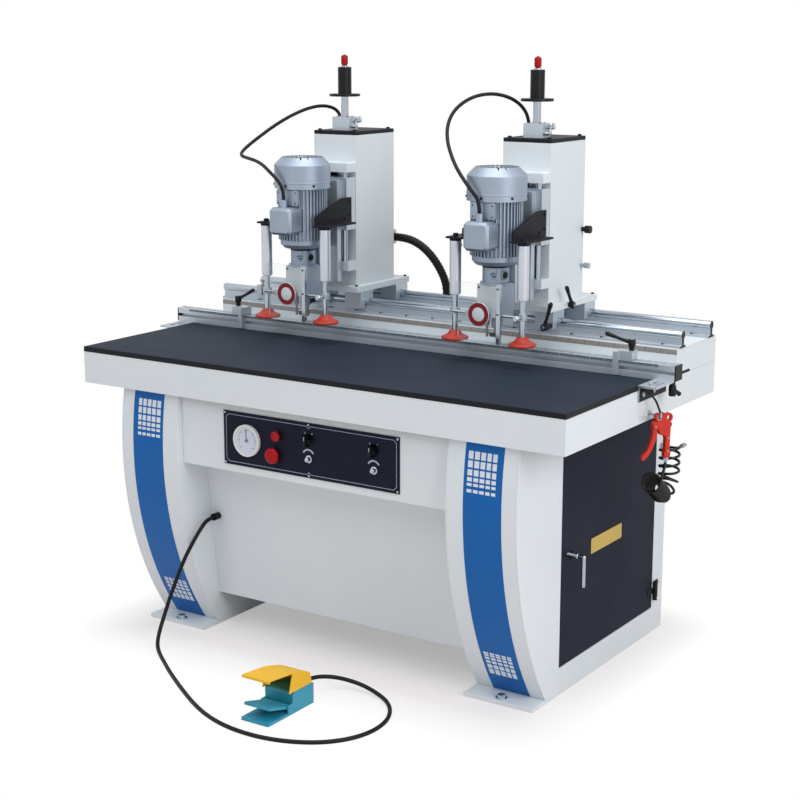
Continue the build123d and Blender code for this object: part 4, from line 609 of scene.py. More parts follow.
# %% Motor cables and conduit
head_xs = {"left": -365.0, "right": 346.0}
plate_top = 1552.0
cable_r = 5.5
cable_lengths = {"left": 0.786, "right": 0.767}
cable_routes = {
    "left": [(-64, 320, 14), (-64, 320, 40), (-78, 308, 66), (-110, 282, 76), (-148, 246, 66),
             (-186, 205, 42), (-220, 164, 12), (-250, 124, -22), (-270, 88, -50), (-272, 54, -70),
             (-252, 26, -80), (-212, 6, -84), (-158, -16, -89), (-106, -44, -100), (-62, -70, -116),
             (-20, -84, -138), (0, -80, -170), (0, -80, -200)],
    "right": [(-64, 320, 14), (-64, 320, 48), (-78, 306, 88), (-108, 274, 118), (-150, 230, 130),
              (-190, 180, 118), (-216, 130, 84), (-214, 86, 42), (-188, 42, -2), (-150, 2, -40),
              (-108, -36, -74), (-64, -68, -104), (-24, -85, -136), (0, -80, -166), (0, -80, -200)],
}
for side, cx in head_xs.items():
    route = [(cx + x, y, plate_top + z) for x, y, z in cable_routes[side]]
    bridging_cord(f"{side}_motor_lead", route, cable_r, f"{side}_motor_cable",
                  (f"{side}_head", f"{side}_drill"), length=cable_lengths[side], far_end="object",
                  stiffness="medium", lay="hanging")

conduit_r = 14.2
conduit_route = [(-300, 439, 1189), (-262, 439, 1189), (-220, 443, 1180), (-180, 450, 1156),
                 (-146, 457, 1120), (-120, 464, 1076), (-104, 468.5, 1030), (-104, 468.5, 980)]
bridging_cord("flexible_conduit", conduit_route, conduit_r, "conduit", ("left_head", "frame"), rib_mm=1.6,
              length=0.327, far_end="object", stiffness="stiff", lay="hanging")
print("cables and conduit", len(cable_routes) + 1)

# %% [markdown]
# ## Foot pedal and its cord
# The pedal is two mouldings: a teal switch body with a tread, and a yellow hood that keeps a dropped board
# off it.  Body and tread are dressed CAD solids, the hood is drawn with its thin front flap, and the tread
# gets the raised ribs that stop a shoe from slipping.  The cord drops out of the knee panel's gland, lies
# on the floor round the pedal and goes in at its back.

# %% Foot pedal
pedal_x, pedal_entry_z, hood_half = 106.0, 44.0, 48.5
pedal_base = dress("pedal_body", "pedal_base", teal_plastic, 0.6, 2, lambda low, high: low.z < 20)
bm = bmesh.new()
flap = [(-850, 122), (-847, 122), (-847, 127.6), (-744, 117.6), (-744, 121), (-848, 131), (-850, 130)]
crown = [(-745, 121), (-682, 104), (-665, 97), (-657, 63), (-660, 63), (-668, 95), (-684, 101), (-746, 118)]
for outline in (flap, crown):
    push(bm, outline, along_x, pedal_x - hood_half, pedal_x + hood_half)
cheek = [(-762, 63), (-752, 100), (-746, 119), (-744, 120.6), (-682, 103.6), (-665, 96.6), (-657, 63)]
for x in (pedal_x - 48.6, pedal_x + 45.6):
    push(bm, cheek, along_x, x, x + 3)
pedal_hood = make_piece("pedal_hood", bm, "frame", [yellow_plastic], 0.8, 3, ["pedal_body"])
pedal_tread = dress("pedal_treadle", "pedal_tread", teal_plastic, 0.6, 2)


def tread_z(y):
    """Height of the sloping tread at y."""
    return 26.0 + (-760.0 - y) * 24.0 / 88.0


bm = bmesh.new()
for middle in range(-840, -766, 10):
    section = ((-3, -0.5), (3, -0.5), (2, 1.6), (-2, 1.6))
    rib = [(middle + dy, tread_z(middle + dy) + dz) for dy, dz in section]
    push(bm, rib, along_x, pedal_x - 38, pedal_x + 38)
for x in (pedal_x - 40, pedal_x + 40):
    push(bm, [(-846, 49), (-772, 29), (-772, 31.5), (-846, 51.5)], along_x, x - 1.5, x + 1.5)
tread_ribs = make_piece("tread_ribs", bm, "pedal_treadle", [teal_plastic], 0.5)
print("pedal", size_of("pedal_body"), "m")

# %% Pedal cord
bm = bmesh.new()
boot_profile = [(9.5, 0), (10.5, 3), (9, 8), (7.5, 20), (6.4, 24), (0, 24)]
turned(bm, boot_profile, (pedal_x, -651, pedal_entry_z), BACK)
pedal_boot = make_piece("pedal_cord_boot", bm, "frame", [cord_rubber], 0.5)
gland_x, gland_z = -454.0, 374.0
knee_top_y, knee_bottom_y, knee_high, knee_low = -345.0, -295.0, 570.0, 108.0
gland_y = knee_top_y + (knee_bottom_y - knee_top_y) * (knee_high - gland_z) / (knee_high - knee_low) - 26
pedal_cord_r, lie = 6.2, 6.4
pedal_route = [
    (gland_x, gland_y, gland_z), (gland_x, gland_y - 30, gland_z), (gland_x + 1, gland_y - 62, gland_z - 20),
    (gland_x - 8, gland_y - 90, gland_z - 58), (-480, -464, 262), (-495, -486, 200), (-506, -509, 140),
    (-511, -531, 88), (-509, -556, 48), (-493, -586, lie + 14), (-461, -615, lie + 2), (-400, -661, lie),
    (-334, -711, lie), (-264, -760, lie), (-192, -808, lie), (-118, -855, lie), (-38, -897, lie),
    (44, -925, lie), (126, -936, lie), (206, -931, lie), (280, -908, lie), (346, -868, lie),
    (394, -808, lie), (416, -738, lie), (412, -664, lie), (384, -598, lie), (340, -546, lie),
    (286, -516, lie + 3), (228, -508, lie + 14), (176, -518, pedal_entry_z - 14),
    (134, -544, pedal_entry_z - 5), (pedal_x, -584, pedal_entry_z), (pedal_x, -632, pedal_entry_z),
    (pedal_x, -746, 52),
]
round_cord("pedal_lead", pedal_route, pedal_cord_r, "pedal_cord", cord_rubber, length=2.104, far_end="tool",
           stiffness="medium", lay="loose",
           with_pieces=[pedal_base, pedal_hood, pedal_tread, tread_ribs, pedal_boot])
print("pedal cord points", len(pedal_route))

# %% [markdown]
# ## Air gun and curly hose
# A blow gun hangs on a screw hook.  Its hose is wound tight while it cools, so it keeps a spring's shape:
# a sagging coil of close turns, a quarter bend, three loose turns, and a tail to the fitting on the leg.

# %% Air gun
gun_turn = radians(60)
gun_along = Vector((cos(gun_turn), sin(gun_turn), 0))
gun_normal = Vector((sin(gun_turn), -cos(gun_turn), 0))
gun_middle = Vector((891, 2, 802))


def on_gun(u, v, w=0.0):
    """Place u along the gun, v up from its hook hole and w across it."""
    return gun_middle + gun_along * u + Vector((0, 0, v)) + gun_normal * w


def gun_ring(bm, u, v, inner, outer, half):
    """Flat ring across the gun."""
    profile = [(inner, 0), (outer, 0), (outer, 2 * half), (inner, 2 * half), (inner, 0)]
    turned(bm, profile, on_gun(u, v, -half), gun_normal, 0, 32)


body_outline = [(9, 14), (17, 13.5), (23, 8), (22, -5), (27, -14), (36, -16), (43, -17), (45, -24),
                (40, -33), (39, -96), (42, -107), (42, -114), (37, -121), (25, -121), (20, -114),
                (20, -107), (23.5, -94), (23.5, -62), (20, -54), (9, -52), (2, -46), (-2, -32), (-12, -34),
                (-20, -29), (-20, -17), (-13, -9), (-6, -11), (3, -11.5), (9, -8), (12, 0), (11, 7)]
bm = bmesh.new()
push(bm, body_outline, on_gun, -8, 8)
gun_ring(bm, 0, 0, 6.0, 12.5, 8)
gun_ring(bm, 34, -3.5, 6.5, 14.0, 6)
make_piece("gun_body", bm, "frame", [gun_plastic], 2.6, 3, ["air_gun"])
lever_outline = [(-8, -18), (-15, -18), (-18, -26), (-19, -46), (-25, -68), (-36, -92), (-55, -110),
                 (-56, -115), (-51, -121), (-46, -120), (-33, -110), (-20, -92), (-10, -72), (-4, -54),
                 (-3, -38), (-5, -26)]
bm = bmesh.new()
push(bm, lever_outline, on_gun, -5.5, 5.5)
make_piece("gun_lever", bm, "gun_trigger", [gun_plastic], 2.2, 3, ["gun_trigger"])

bm = bmesh.new()
for u, v in ((-13, -25), (31, -62), (31, -100)):
    socket_screw(bm, on_gun(u, v, 7.9), gun_normal, 3)
gun_ring(bm, 0, 0, 5.4, 7.4, 8.3)
nozzle = ((7, 12), (4, 19), (-1, 31), (-9, 47), (-19, 60), (-31, 72), (-44, 80), (-55, 85))
pipe(bm, [on_gun(u, v) for u, v in nozzle], 3.0, 1)
pipe(bm, [on_gun(-10, 0), on_gun(-30, 3.5), on_gun(-51, 7.2)], 1.5, 0, 10)
pipe(bm, [on_gun(-54, 1), on_gun(-51.5, 6), on_gun(-48.5, 11)], 1.7, 0, 10)
turned(bm, [(8, 0), (8, 6), (6.2, 7), (6.2, 13), (0, 13)], on_gun(31, -120), DOWN, 0, 6)
make_piece("gun_screws", bm, "frame", [zinc_steel, black_oxide])
print("air gun", size_of("air_gun"), "m")

# %% Curly hose
hose_r = 4.0
coil_r, coil_pitch, coil_turns, coil_sag = 29.0, 9.4, 7.0, 48.0
bend_r, bend_turns, rise_pitch = 55.0, 3.0, 24.0
coil_start = Vector((868, 21.05, 605))
turn_steps = 16


def coil_point(turn):
    """Place on the hose after so many turns."""
    bent = min(max(turn - coil_turns, 0), bend_turns) / bend_turns * pi / 2
    level = min(turn, coil_turns) * coil_pitch + bend_r * sin(bent)
    rise = bend_r * (1 - cos(bent)) + max(turn - coil_turns - bend_turns, 0) * rise_pitch
    rise -= min(turn / coil_turns, 1) * coil_sag
    across = Vector((0, sin(bent), -cos(bent)))
    angle = 2 * pi * turn
    return coil_start + Vector((coil_r * cos(angle), level, rise)) + across * coil_r * sin(angle)


hose_top = on_gun(31, -131)
hose_route = [hose_top, hose_top + Vector((-1, -1, -16)), (900, 23, 630)]
hose_route += [coil_point(step / turn_steps) for step in range(210)]
hose_route += [(890, 180, 686), (872, 238, 672), (853, 290, 657), (828, 340, 640), (797, 390, 620),
               (765, 425, 607), (750, 430, 604), (735, 430, 604)]
round_cord("air_hose", hose_route, hose_r, "gun_hose", hose_plastic, length=2.804, far_end="object",
           stiffness="medium", lay="coiled")
dress("gun_hose", "hose_fitting", zinc_steel, 0.6, 2, lambda low, high: high.x < 736)
dress("conduit", "conduit_gland", black_plastic, 0.8, 2, lambda low, high: high.z < 985)
print("hose points", len(hose_route))

# %% [markdown]
# ## Legs and panels
# The two legs are bent sheet with a bowed front, powder coated.  A vinyl stripe runs down each front, with
# a grid of white squares that fade in size towards the middle.  The film is drawn as a thin strip that
# follows the bow, because a flat strip would cut into it.


# %% Legs and panels
def small_bolt(m, low, high):
    return 11 < low.z and high.z < 24


dress("left_pedestal", "left_leg", [(zinc_steel, small_bolt), (white_coat, None)], 1.2, 3)
dress("right_pedestal", "right_leg",
      [(zinc_steel, small_bolt), (black_coat, lambda m, low, high: low.x > 708), (white_coat, None)], 1.2, 3)
dress("base_panels", "front_and_rear_panels",
      [(black_plastic, lambda m, low, high: high.x < -440), (zinc_steel, lambda m, low, high: low.x > 480),
       (white_coat, None)], 1.0, 3)
dress("table_frame", "table_apron", white_coat, 1.2, 3)
dress("bed", "rail_bed", white_coat, 1.0, 3)
dress("table_board", "table_top", [(edge_band, lambda m, low, high: m.z < 899), (laminate, None)], 0.8, 3)
print("left leg", size_of("left_pedestal"), "m")


# %% Leg stripes
def bow_y(z):
    """Front of a leg at height z."""
    return 547.0 - sqrt(1025.0 ** 2 - (z - 593.0) ** 2)


def film(bm, x0, x1, z0, z1, lift, finish):
    """Thin film on the bowed front of a leg."""
    levels = max(2, int((z1 - z0) / 12) + 1)
    rows = []
    for k in range(levels):
        z = z0 + (z1 - z0) * k / (levels - 1)
        front, rear = bow_y(z) - lift, bow_y(z) + 0.2
        rows.append([(x0, front, z), (x1, front, z), (x1, rear, z), (x0, rear, z)])
    skin(bm, rows, finish)


square_xs = ((552, 567), (572, 587), (591.5, 606), (611, 624), (629, 642))
top_rows = ((735.5, 757), (712, 731), (690, 706.5), (674, 685), (661, 669), (643, 652))
low_rows = ((146, 152), (138, 144), (126.5, 134.5), (113, 122), (94.5, 108), (73, 91))
for side, hand in (("left", -1), ("right", 1)):
    bm = bmesh.new()
    film(bm, *sorted((hand * 541, hand * 662)), 12.5, 784.5, 0.6, 0)
    for a, b in square_xs:
        for z0, z1 in top_rows + low_rows:
            film(bm, *sorted((hand * a, hand * b)), z0, z1, 0.9, 1)
    make_piece(f"{side}_leg_stripe", bm, "frame", [blue_vinyl, white_vinyl])
print("squares on a stripe", len(square_xs) * len(top_rows + low_rows))

# %% [markdown]
# ### Small fasteners of the base
# Sheet panels are held by rows of pan head screws, and each leg stands on a hex bolt with a lock nut.
# They are small, but without them the sheets look like one block.

# %% Fasteners of the base
bm = bmesh.new()
for x in (-440, -150, 150, 440):
    for z in (150, 745):
        turned(bm, [(6, 0), (5.2, 2.2), (3, 3.2), (0, 3.4)], (x, 470, z), BACK, 0, 16)
for hand in (-1, 1):
    turned(bm, [(17, 0), (17, 2.4), (12, 2.4)], (hand * 597, -350, 11.8), UP, 0, 32)
make_piece("base_fasteners", bm, "frame", [zinc_steel], 0.3)

# %% [markdown]
# ## Cabinet door
# The door is a navy sheet pan with lift-off hinges, a chromed lever and a small bare plate.  Rivets at the
# plate's corners hold it.

# %% Cabinet door
dress("door", "cabinet_door", [(black_coat, lambda m, low, high: m.x > 710.2), (navy_coat, None)], 1.0, 3)
dress("door_handle", "lever_handle", chrome, 0.5, 2)
bm = bmesh.new()
tag_y, tag_z, tag_face = 63.5, 399.0, 711.0
push(bm, rounded(99.5, 23, 4, (tag_y, tag_z)), along_x, 709.9, tag_face)
for u, v in corners_of(93, 17):
    turned(bm, [(2.4, 0), (2.0, 0.9), (0, 1.2)], (tag_face, tag_y + u, tag_z + v), RIGHT, 1, 12)
make_piece("door_plate", bm, "door", [yellow_plate, zinc_steel], 0.2)
print("door", size_of("door"), "m")

# %% [markdown]
# ## Control panel
# The panel is a navy plate with a printed light border, a pressure gauge, a start button, an emergency
# stop, two selectors and two air regulators.  The CAD plate carries the gauge's case and the collars, and
# the printing, the scale and the screws are thin pieces on top of it.

# %% Control panel
gauge_x, gauge_z, gauge_r = -226.0, 675.5, 48.5
stop_x, stop_z, start_x, start_z = -125.0, 645.0, -112.5, 705.0
selector_xs, selector_z = {"left": 0.0, "right": 229.0}, 709.0
regulator_xs, regulator_z = {"left": 1.5, "right": 231.5}, 650.5
panel_y, button_y = -453.0, -455.0


def on_gauge(m, reach):
    return hypot(m.x - gauge_x, m.z - gauge_z) < reach and m.y < panel_y - 0.2


dress("control_panel", "panel_plate",
      [(dial_white, lambda m, low, high: on_gauge(m, gauge_r - 4.9) and m.y > panel_y - 5),
       (bezel_white, lambda m, low, high: on_gauge(m, gauge_r + 1)),
       (black_plastic, lambda m, low, high: m.y < panel_y - 0.2), (navy_coat, None)], 0.5, 2)
dress("gauge_needle", "needle", dial_ink, 0.2, 2)
mushroom = [(6, 0), (6, 8), (22, 8), (24, 9.6), (24, 14), (22.8, 17.4), (19.6, 20), (14.6, 21.6), (8, 22),
            (0, 22)]
bm = bmesh.new()
turned(bm, mushroom, (stop_x, button_y, stop_z), FRONT)
make_piece("stop_mushroom", bm, "emergency_stop", [red_plastic], replaced=["emergency_stop"],
           sharp_deg=60)
cap = [(6, 0), (6, 8), (14.6, 8), (15, 8.6), (15, 12.6), (13.8, 13.8), (12.4, 13.4), (0, 13.0)]
bm = bmesh.new()
turned(bm, cap, (start_x, button_y, start_z), FRONT)
make_piece("start_cap", bm, "start_button", [red_plastic], replaced=["start_button"],
           sharp_deg=40)
for side in ("left", "right"):
    dress(f"selector_{side}", f"selector_knob_{side}", black_plastic, 1.0, 3)
    bm = bmesh.new()
    place = (regulator_xs[side], panel_y - 0.6, regulator_z)
    turned(bm, [(10.5, 0), (11.5, 0.4), (11.5, 2.4), (10, 3.4), (6, 3.6)], place, FRONT, 0, 32)
    turned(bm, [(6, 3), (6, 9), (5, 9.4)], place, FRONT, 1, 32)
    turned(bm, [(5, 9), (6.8, 9.8), (7.4, 12), (6.6, 14.4), (4, 15.7), (0, 16)], place, FRONT, 0, 32)
    node = f"regulator_{side}"
    make_piece(f"regulator_knob_{side}", bm, node, [chrome, black_plastic],
               replaced=[node], sharp_deg=50)
print("panel", size_of("control_panel"), "m")


# %% Printing on the panel
def stroke(bm, points, width, closed=False):
    """Ribbon of ink on the panel through (x, z) points, mitred at its corners."""
    line = [Vector(p) for p in points]
    count = len(line)
    rings = []
    for i, p in enumerate(line):
        before = (p - line[i - 1]).normalized() if closed or i else (line[1] - p).normalized()
        after = (line[(i + 1) % count] - p).normalized() if closed or i < count - 1 else before
        across = Vector((-before.y - after.y, before.x + after.x)).normalized()
        reach = across * width / 2 / max(0.3, across.dot(Vector((-before.y, before.x))))
        edges = ((p + reach, -0.25), (p - reach, -0.25), (p - reach, 0.05), (p + reach, 0.05))
        rings.append([(q.x, panel_y + depth, q.y) for q, depth in edges])
    skin(bm, rings, 0, closed)


def on_arc(x, z, r, turn_deg):
    """Place on an arc about (x, z)."""
    return (x + r * cos(radians(turn_deg)), z + r * sin(radians(turn_deg)))


bm = bmesh.new()
u, low, high, cut, notch = 307.0, 603.0, 748.0, 9.0, 7.0
border = [(-u, low + cut), (-u, high - cut), (-u + cut, high), (-notch, high), (0, high - notch),
          (notch, high), (u - cut, high), (u, high - cut), (u, low + cut), (u - cut, low), (notch, low),
          (0, low + notch), (-notch, low), (-u + cut, low)]
stroke(bm, border, 1.4, True)
for x in regulator_xs.values():
    stroke(bm, [on_arc(x - 2.5, regulator_z + 6.5, 21, 30 + 7.5 * k) for k in range(17)], 5.0)
for x in selector_xs.values():
    for turn in (125, 55):
        stroke(bm, [on_arc(x, selector_z, r, turn) for r in (19, 25)], 2.4)
make_piece("panel_printing", bm, "frame", [ink_white])

bm = bmesh.new()
pan_head = [(3.6, 0), (3.4, 1.4), (2.2, 2.2), (0.6, 2.4), (0.5, 1.4), (0, 1.4)]
for x in (-311, 0, 311):
    for z in (599, 752):
        turned(bm, pan_head, (x, panel_y, z), FRONT, 0, 16)
make_piece("panel_screws", bm, "frame", [zinc_steel])
print("border corners", len(border))

# %% Gauge scale and selector pointers
bm = bmesh.new()
dial_y, scale_end = -457.0, 35.0
for k in range(31):
    turn = radians(225 - 9 * k)
    inner, wide = (27.0, 0.9) if k % 5 == 0 else (31.0, 0.5)
    along = Vector((cos(turn), sin(turn)))
    across = Vector((-sin(turn), cos(turn))) * wide
    outline = [along * r + across * edge for r, edge in
               ((inner, -1), (scale_end, -1), (scale_end, 1), (inner, 1))]
    push(bm, [(gauge_x + p.x, gauge_z + p.y) for p in outline], along_y, dial_y - 0.2, dial_y + 0.05)
ring = [(37, 0), (43.2, 0), (43.2, 0.4), (37, 0.4), (37, 0)]
turned(bm, ring, (gauge_x, dial_y + 0.1, gauge_z), FRONT, 1, 64)
make_piece("gauge_scale", bm, "frame", [dial_ink, bezel_white])
bm = bmesh.new()
turned(bm, [(0, 0), (43, 0), (43, 0.6), (0, 0.6)], (gauge_x, -462.4, gauge_z), BACK)
make_piece("gauge_window", bm, "frame", [gauge_glass])
for side, x in selector_xs.items():
    bm = bmesh.new()
    brick(bm, (x - 1.1, -476.9, selector_z), (x + 1.1, -476.4, selector_z + 11.4))
    make_piece(f"selector_pointer_{side}", bm, f"selector_{side}", [ink_white])
print("gauge middle at", gauge_x, gauge_z, "mm")

# %% [markdown]
# ## Rails, fence and stops
# Two ground shafts sit on aluminium supports that are screwed to the bed every 100 mm.  The fence is a
# T-slot extrusion with an etched tape, and a second tape is let into the front of the bed.  The stops
# slide in the top slot and clamp with a lever.

# %% Rails
rail_ys, rail_z = (227.0, 434.0), 1000.0
# Faces at the shaft and support ends take black nylon; this black also paints the shade on the end faces.
dress("rails", "rail_shafts",
      [(zinc_steel, lambda m, low, high: high.x < -600),
       (black_plastic, lambda m, low, high: abs(m.x) > 858.5),
       (ground_steel, lambda m, low, high: low.z > 980), (extruded, None)], 0.5, 2)
bm = bmesh.new()
for y in rail_ys:
    for x in range(-800, 801, 100):
        for dy in (-14.5, 14.5):
            socket_screw(bm, (x, y + dy, 968.8), UP, 3.4)
    # Black discs on the shaft ends: they also paint the shade on the end faces.
    for hand in (-1, 1):
        turned(bm, [(11.0, 0), (12.2, 0), (12.2, 0.6), (0, 0.6)], (hand * 859.4, y, rail_z), (hand, 0, 0), 1)
make_piece("rail_screws", bm, "frame", [black_oxide, black_plastic])
print("rails", size_of("rails"), "m")

# %% Fence and tapes
# The bracket's hanging flange is black enamel with a zinc front edge; its black also paints the shade under
# the bracket's top plate.
dress("fence", "fence_profile",
      [(black_plastic, lambda m, low, high: high.x - low.x < 6 and high.z - low.z > 40),
       (black_coat, lambda m, low, high: high.x - low.x < 10 and low.y > 80),
       (zinc_steel, lambda m, low, high: high.z < 830),
       (zinc_steel, lambda m, low, high: low.z < 860 and m.y < -59.5),
       (black_coat, lambda m, low, high: low.z < 860 and m.z < 893), (extruded, None)], 0.5, 2)
fence_tape = tape_material("etched steel tape of the fence", 936.5, 8.0, "#6E777E", "#5C656C", "#A9B0B5")
bed_tape = tape_material("etched steel tape of the bed", 944.0, 15.0, "#A39C97", "#8D8884", "#6F6A67")
bm = bmesh.new()
brick(bm, (-868, 41.7, 936.5), (868, 42.1, 944.5))
make_piece("fence_scale", bm, "frame", [fence_tape])
bm = bmesh.new()
brick(bm, (-852, 200.6, 944), (852, 201.2, 959))
make_piece("bed_scale", bm, "frame", [bed_tape])
bm = bmesh.new()
for hand in (-1, 1):
    socket_screw(bm, (hand * 882, -30, 900), UP, 6)
    for y in (-40, 30):
        turned(bm, [(8, 0), (8, 5), (7, 6), (0, 6)], (hand * 860, y, 872), (hand, 0, 0), 0, 6)
make_piece("bracket_bolts", bm, "frame", [zinc_steel], 0.3)
print("fence", size_of("fence"), "m")

# %% [markdown]
# ## Clamp levers
# Every lock on the machine is the same kind of moulded lever: a hub with a socket screw in its end and an
# arm that swells towards its tip.  One function draws it from the hub's foot, its axis and the tip, so
# that each stays where its plain CAD lever is.

# %% Clamp levers
hub_r = 11.0
hub_profile = ((0.72, 0), (0.72, 0.28), (0.95, 0.4), (1, 0.55), (1, 0.9), (0.9, 1), (0, 1))
socket_profile = ((0.5, 0), (0.5, 0.12), (0.3, 0.2), (0.25, 0.02), (0, 0.02))
swell = ((0.0, 7.2, 0.0), (0.15, 6.4, 0.5), (0.35, 5.0, 1.2), (0.6, 5.0, 0.8), (0.85, 6.2, 0.2),
         (1.0, 6.8, 0.0), (1.06, 5.6, 0.0), (1.095, 2.6, 0.0))


def clamp_lever(node, foot, axis, height, root, tip):
    """Moulded lever that stands for a plain CAD one."""
    bm = bmesh.new()
    out = Vector(axis)
    turned(bm, [(r * hub_r, h * height) for r, h in hub_profile], foot, axis, 0, 32)
    turned(bm, [(r * hub_r, h * hub_r) for r, h in socket_profile], Vector(foot) + out * height * 0.99, axis,
           1, 6)
    line = [Vector(root).lerp(Vector(tip), share) - out * bow for share, _, bow in swell]
    pipe(bm, line, [thick for _, thick, _ in swell], 0, 20)
    make_piece(f"{node}_grip", bm, node_body[node], [black_plastic, zinc_steel],
               replaced=[node], sharp_deg=50)


stop_hubs = {"left": Vector((-673, 64.5, 972.1)), "right": Vector((773, 64.5, 972.1))}
stop_arms = {"left": Vector((0, 78, 40.4)), "right": Vector((-78, 0, 40.4))}
for side, hand in (("left", -1), ("right", 1)):
    hub = stop_hubs[side]
    clamp_lever(f"{side}_stop_lever", hub, UP, 32, hub + Vector((0, 0, 22.4)), hub + stop_arms[side])
    x = head_xs[side] + hand * 92
    clamp_lever(f"{side}_front_lock", (x, 191.4, 992), FRONT, 44.4, (x, 153, 992),
                (x + hand * 22, 152, 1064))
    x = head_xs[side] + hand * 106.6
    clamp_lever(f"{side}_side_lock", (x, 285, 1045.5), (hand, 0, 0), 18, (x + hand * 12, 285, 1045.5),
                (x + hand * 13, 243, 1103.5))
    dress(f"{side}_stop", f"{side}_stop_block", extruded, 0.8, 3)
clamp_lever("fence_lock", (902, 68, 899), DOWN, 46, (902, 68, 875), (910, 98, 854))

# %% [markdown]
# ## Heads
# Each head is a carriage on the rails, a sheet column with a feed cylinder on top, and a drilling slide
# with its motor, gear box and two hold-down clamps.  Both are alike, so each cell is one loop.

# %% Carriages and columns
guide_dx, guide_y = 58.0, 167.0
bracket_faces = (1107, 1136, 1424, 1453)
for side, cx in head_xs.items():
    def is_guide(m, low, high):
        off = hypot(abs(m.x - cx) - guide_dx, m.y - guide_y)
        return off < 2 or (off < 10.6 and min(abs(m.z - z) for z in bracket_faces) > 0.5)

    dress(f"{side}_carriage", f"{side}_saddle",
          [(extruded, lambda m, low, high: m.z < 1035.5), (white_coat, None)], 0.8, 3)
    dress(f"{side}_column", f"{side}_pillar", [(chrome, is_guide), (white_coat, None)], 1.2, 3)
    bm = bmesh.new()
    for x in (cx - 95, cx + 95):
        for y in (178, 463):
            socket_screw(bm, (x, y, 1054.6), UP, 5)
    make_piece(f"{side}_saddle_screws", bm, f"{side}_head", [black_oxide])
print("column", size_of("left_column"), "m")

# %% [markdown]
# ### Feed cylinder, depth stop and motor
# The black top plate closes the column and carries the cylinder's end block.  The rod runs through it, and
# a black flange sleeve on the rod sets the depth.  The motor is a ribbed aluminium casting in silver paint
# with a pressed cowl, whose top has rings of slots for the fan.

# %% Feed, rod and depth stop
feed_y, cap_foot = 253.0, 1757.0
cap_profile = [(8.6, -3), (8.6, 1), (12.4, 7), (12.4, 29), (11.2, 31), (3, 35.6), (0, 36)]
for side, cx in head_xs.items():
    def is_end_block(m, low, high):
        return m.z > plate_top + 0.2 and abs(m.x - cx) < 33.7 and abs(m.y - feed_y) < 25.7

    dress(f"{side}_plunge_cylinder", f"{side}_feed_cylinder",
          [(zinc_steel, lambda m, low, high: high.x - low.x < 60 and high.y - low.y < 20),
           (black_plastic, lambda m, low, high: high.x - low.x < 60), (extruded, is_end_block),
           (turned_aluminium, lambda m, low, high: m.z < 1539), (black_coat, None)], 0.7, 2)
    dress(f"{side}_plunge_rod", f"{side}_feed_rod", chrome, 0.6, 3, lambda low, high: low.z < 1700)
    bm = bmesh.new()
    turned(bm, cap_profile, (cx, feed_y, cap_foot), UP, 0, 6)
    make_piece(f"{side}_rod_cap", bm, f"{side}_drill", [red_plastic], 0.8, 3,
               [f"{side}_plunge_rod"])
    dress(f"{side}_depth_stop", f"{side}_stop_sleeve", black_oxide, 1.0, 3)
    bm = bmesh.new()
    for turn in range(45, 360, 90):
        a = radians(turn)
        socket_screw(bm, (cx + 26.4 * cos(a), feed_y + 19.8 * sin(a), 1592.6), UP, 4)
    turned(bm, [(12.9, 0), (17, 0), (17, 1.2), (15.8, 2), (12.9, 2)], (cx, feed_y, 1594.8), UP, 1)
    make_piece(f"{side}_end_block_screws", bm, f"{side}_head", [black_oxide, zinc_steel], 0.2)
print("feed rod", size_of("left_plunge_rod"), "m")

# %% Motors
motor_y, box_z, plate_z, fan_z = 19.0, 1285.5, 1357.0, 1480.0
plate_front, slot_half = -63.0, 4.5
for side, cx in head_xs.items():
    dress(f"{side}_motor", f"{side}_motor_case", silver_coat, 0.8, 2)
    bm = bmesh.new()
    push(bm, rounded(43.6, 43.1, 11, (cx, box_z), 1), along_y, -89, -87)
    push(bm, rounded(41, 24, 3, (cx, plate_z)), along_y, plate_front, -44)
    push(bm, rounded(38, 21, 2, (cx, plate_z)), along_y, plate_front - 0.6, plate_front + 0.1)
    for u, v in corners_of(33, 16):
        turned(bm, [(2.6, 0), (2.2, 1.2), (0, 1.6)], (cx + u, plate_front - 0.5, plate_z + v), FRONT, 1, 12)
    for turn in range(30, 360, 60):
        out = Vector((cos(radians(turn)), sin(radians(turn)), 0))
        place = Vector((cx, motor_y, 1394)) + out * 89
        turned(bm, [(4, 0), (4, 2.6), (3, 3.2), (0, 3.2)], place, out, 1, 12)
    for ring, count in ((20, 10), (33, 16), (46, 22), (58, 28)):
        for k in range(count):
            turns = [2 * pi * (k + share) / count for share in (0, 0.31, 0.62)]
            edge = [(ring + slot_half, a) for a in turns] + [(ring - slot_half, a) for a in reversed(turns)]
            outline = [(cx + r * cos(a), motor_y + r * sin(a)) for r, a in edge]
            push(bm, outline, along_z, fan_z - 0.1, fan_z + 0.15, 2)
    turned(bm, [(89, 0), (89.7, 0.8), (89.7, 4.2), (89, 5)], (cx, motor_y, 1400), UP, 0, 96)
    turned(bm, [(39, 0), (41, 0), (41, 8), (39, 8)], (cx, motor_y, 1186), UP, 2, 64)
    make_piece(f"{side}_motor_details", bm, f"{side}_drill",
               [silver_coat, black_oxide, black_plastic], 0.4, sharp_deg=40)
print("motor", size_of("left_motor"), "m")

# %% [markdown]
# ### Drilling slide, gear box and drills
# Under the motor sits the gear box, with the cup cutter in the middle and a dowel drill each side.  A bare
# plate covers its front, and a plug closes the grease hole in the neck.

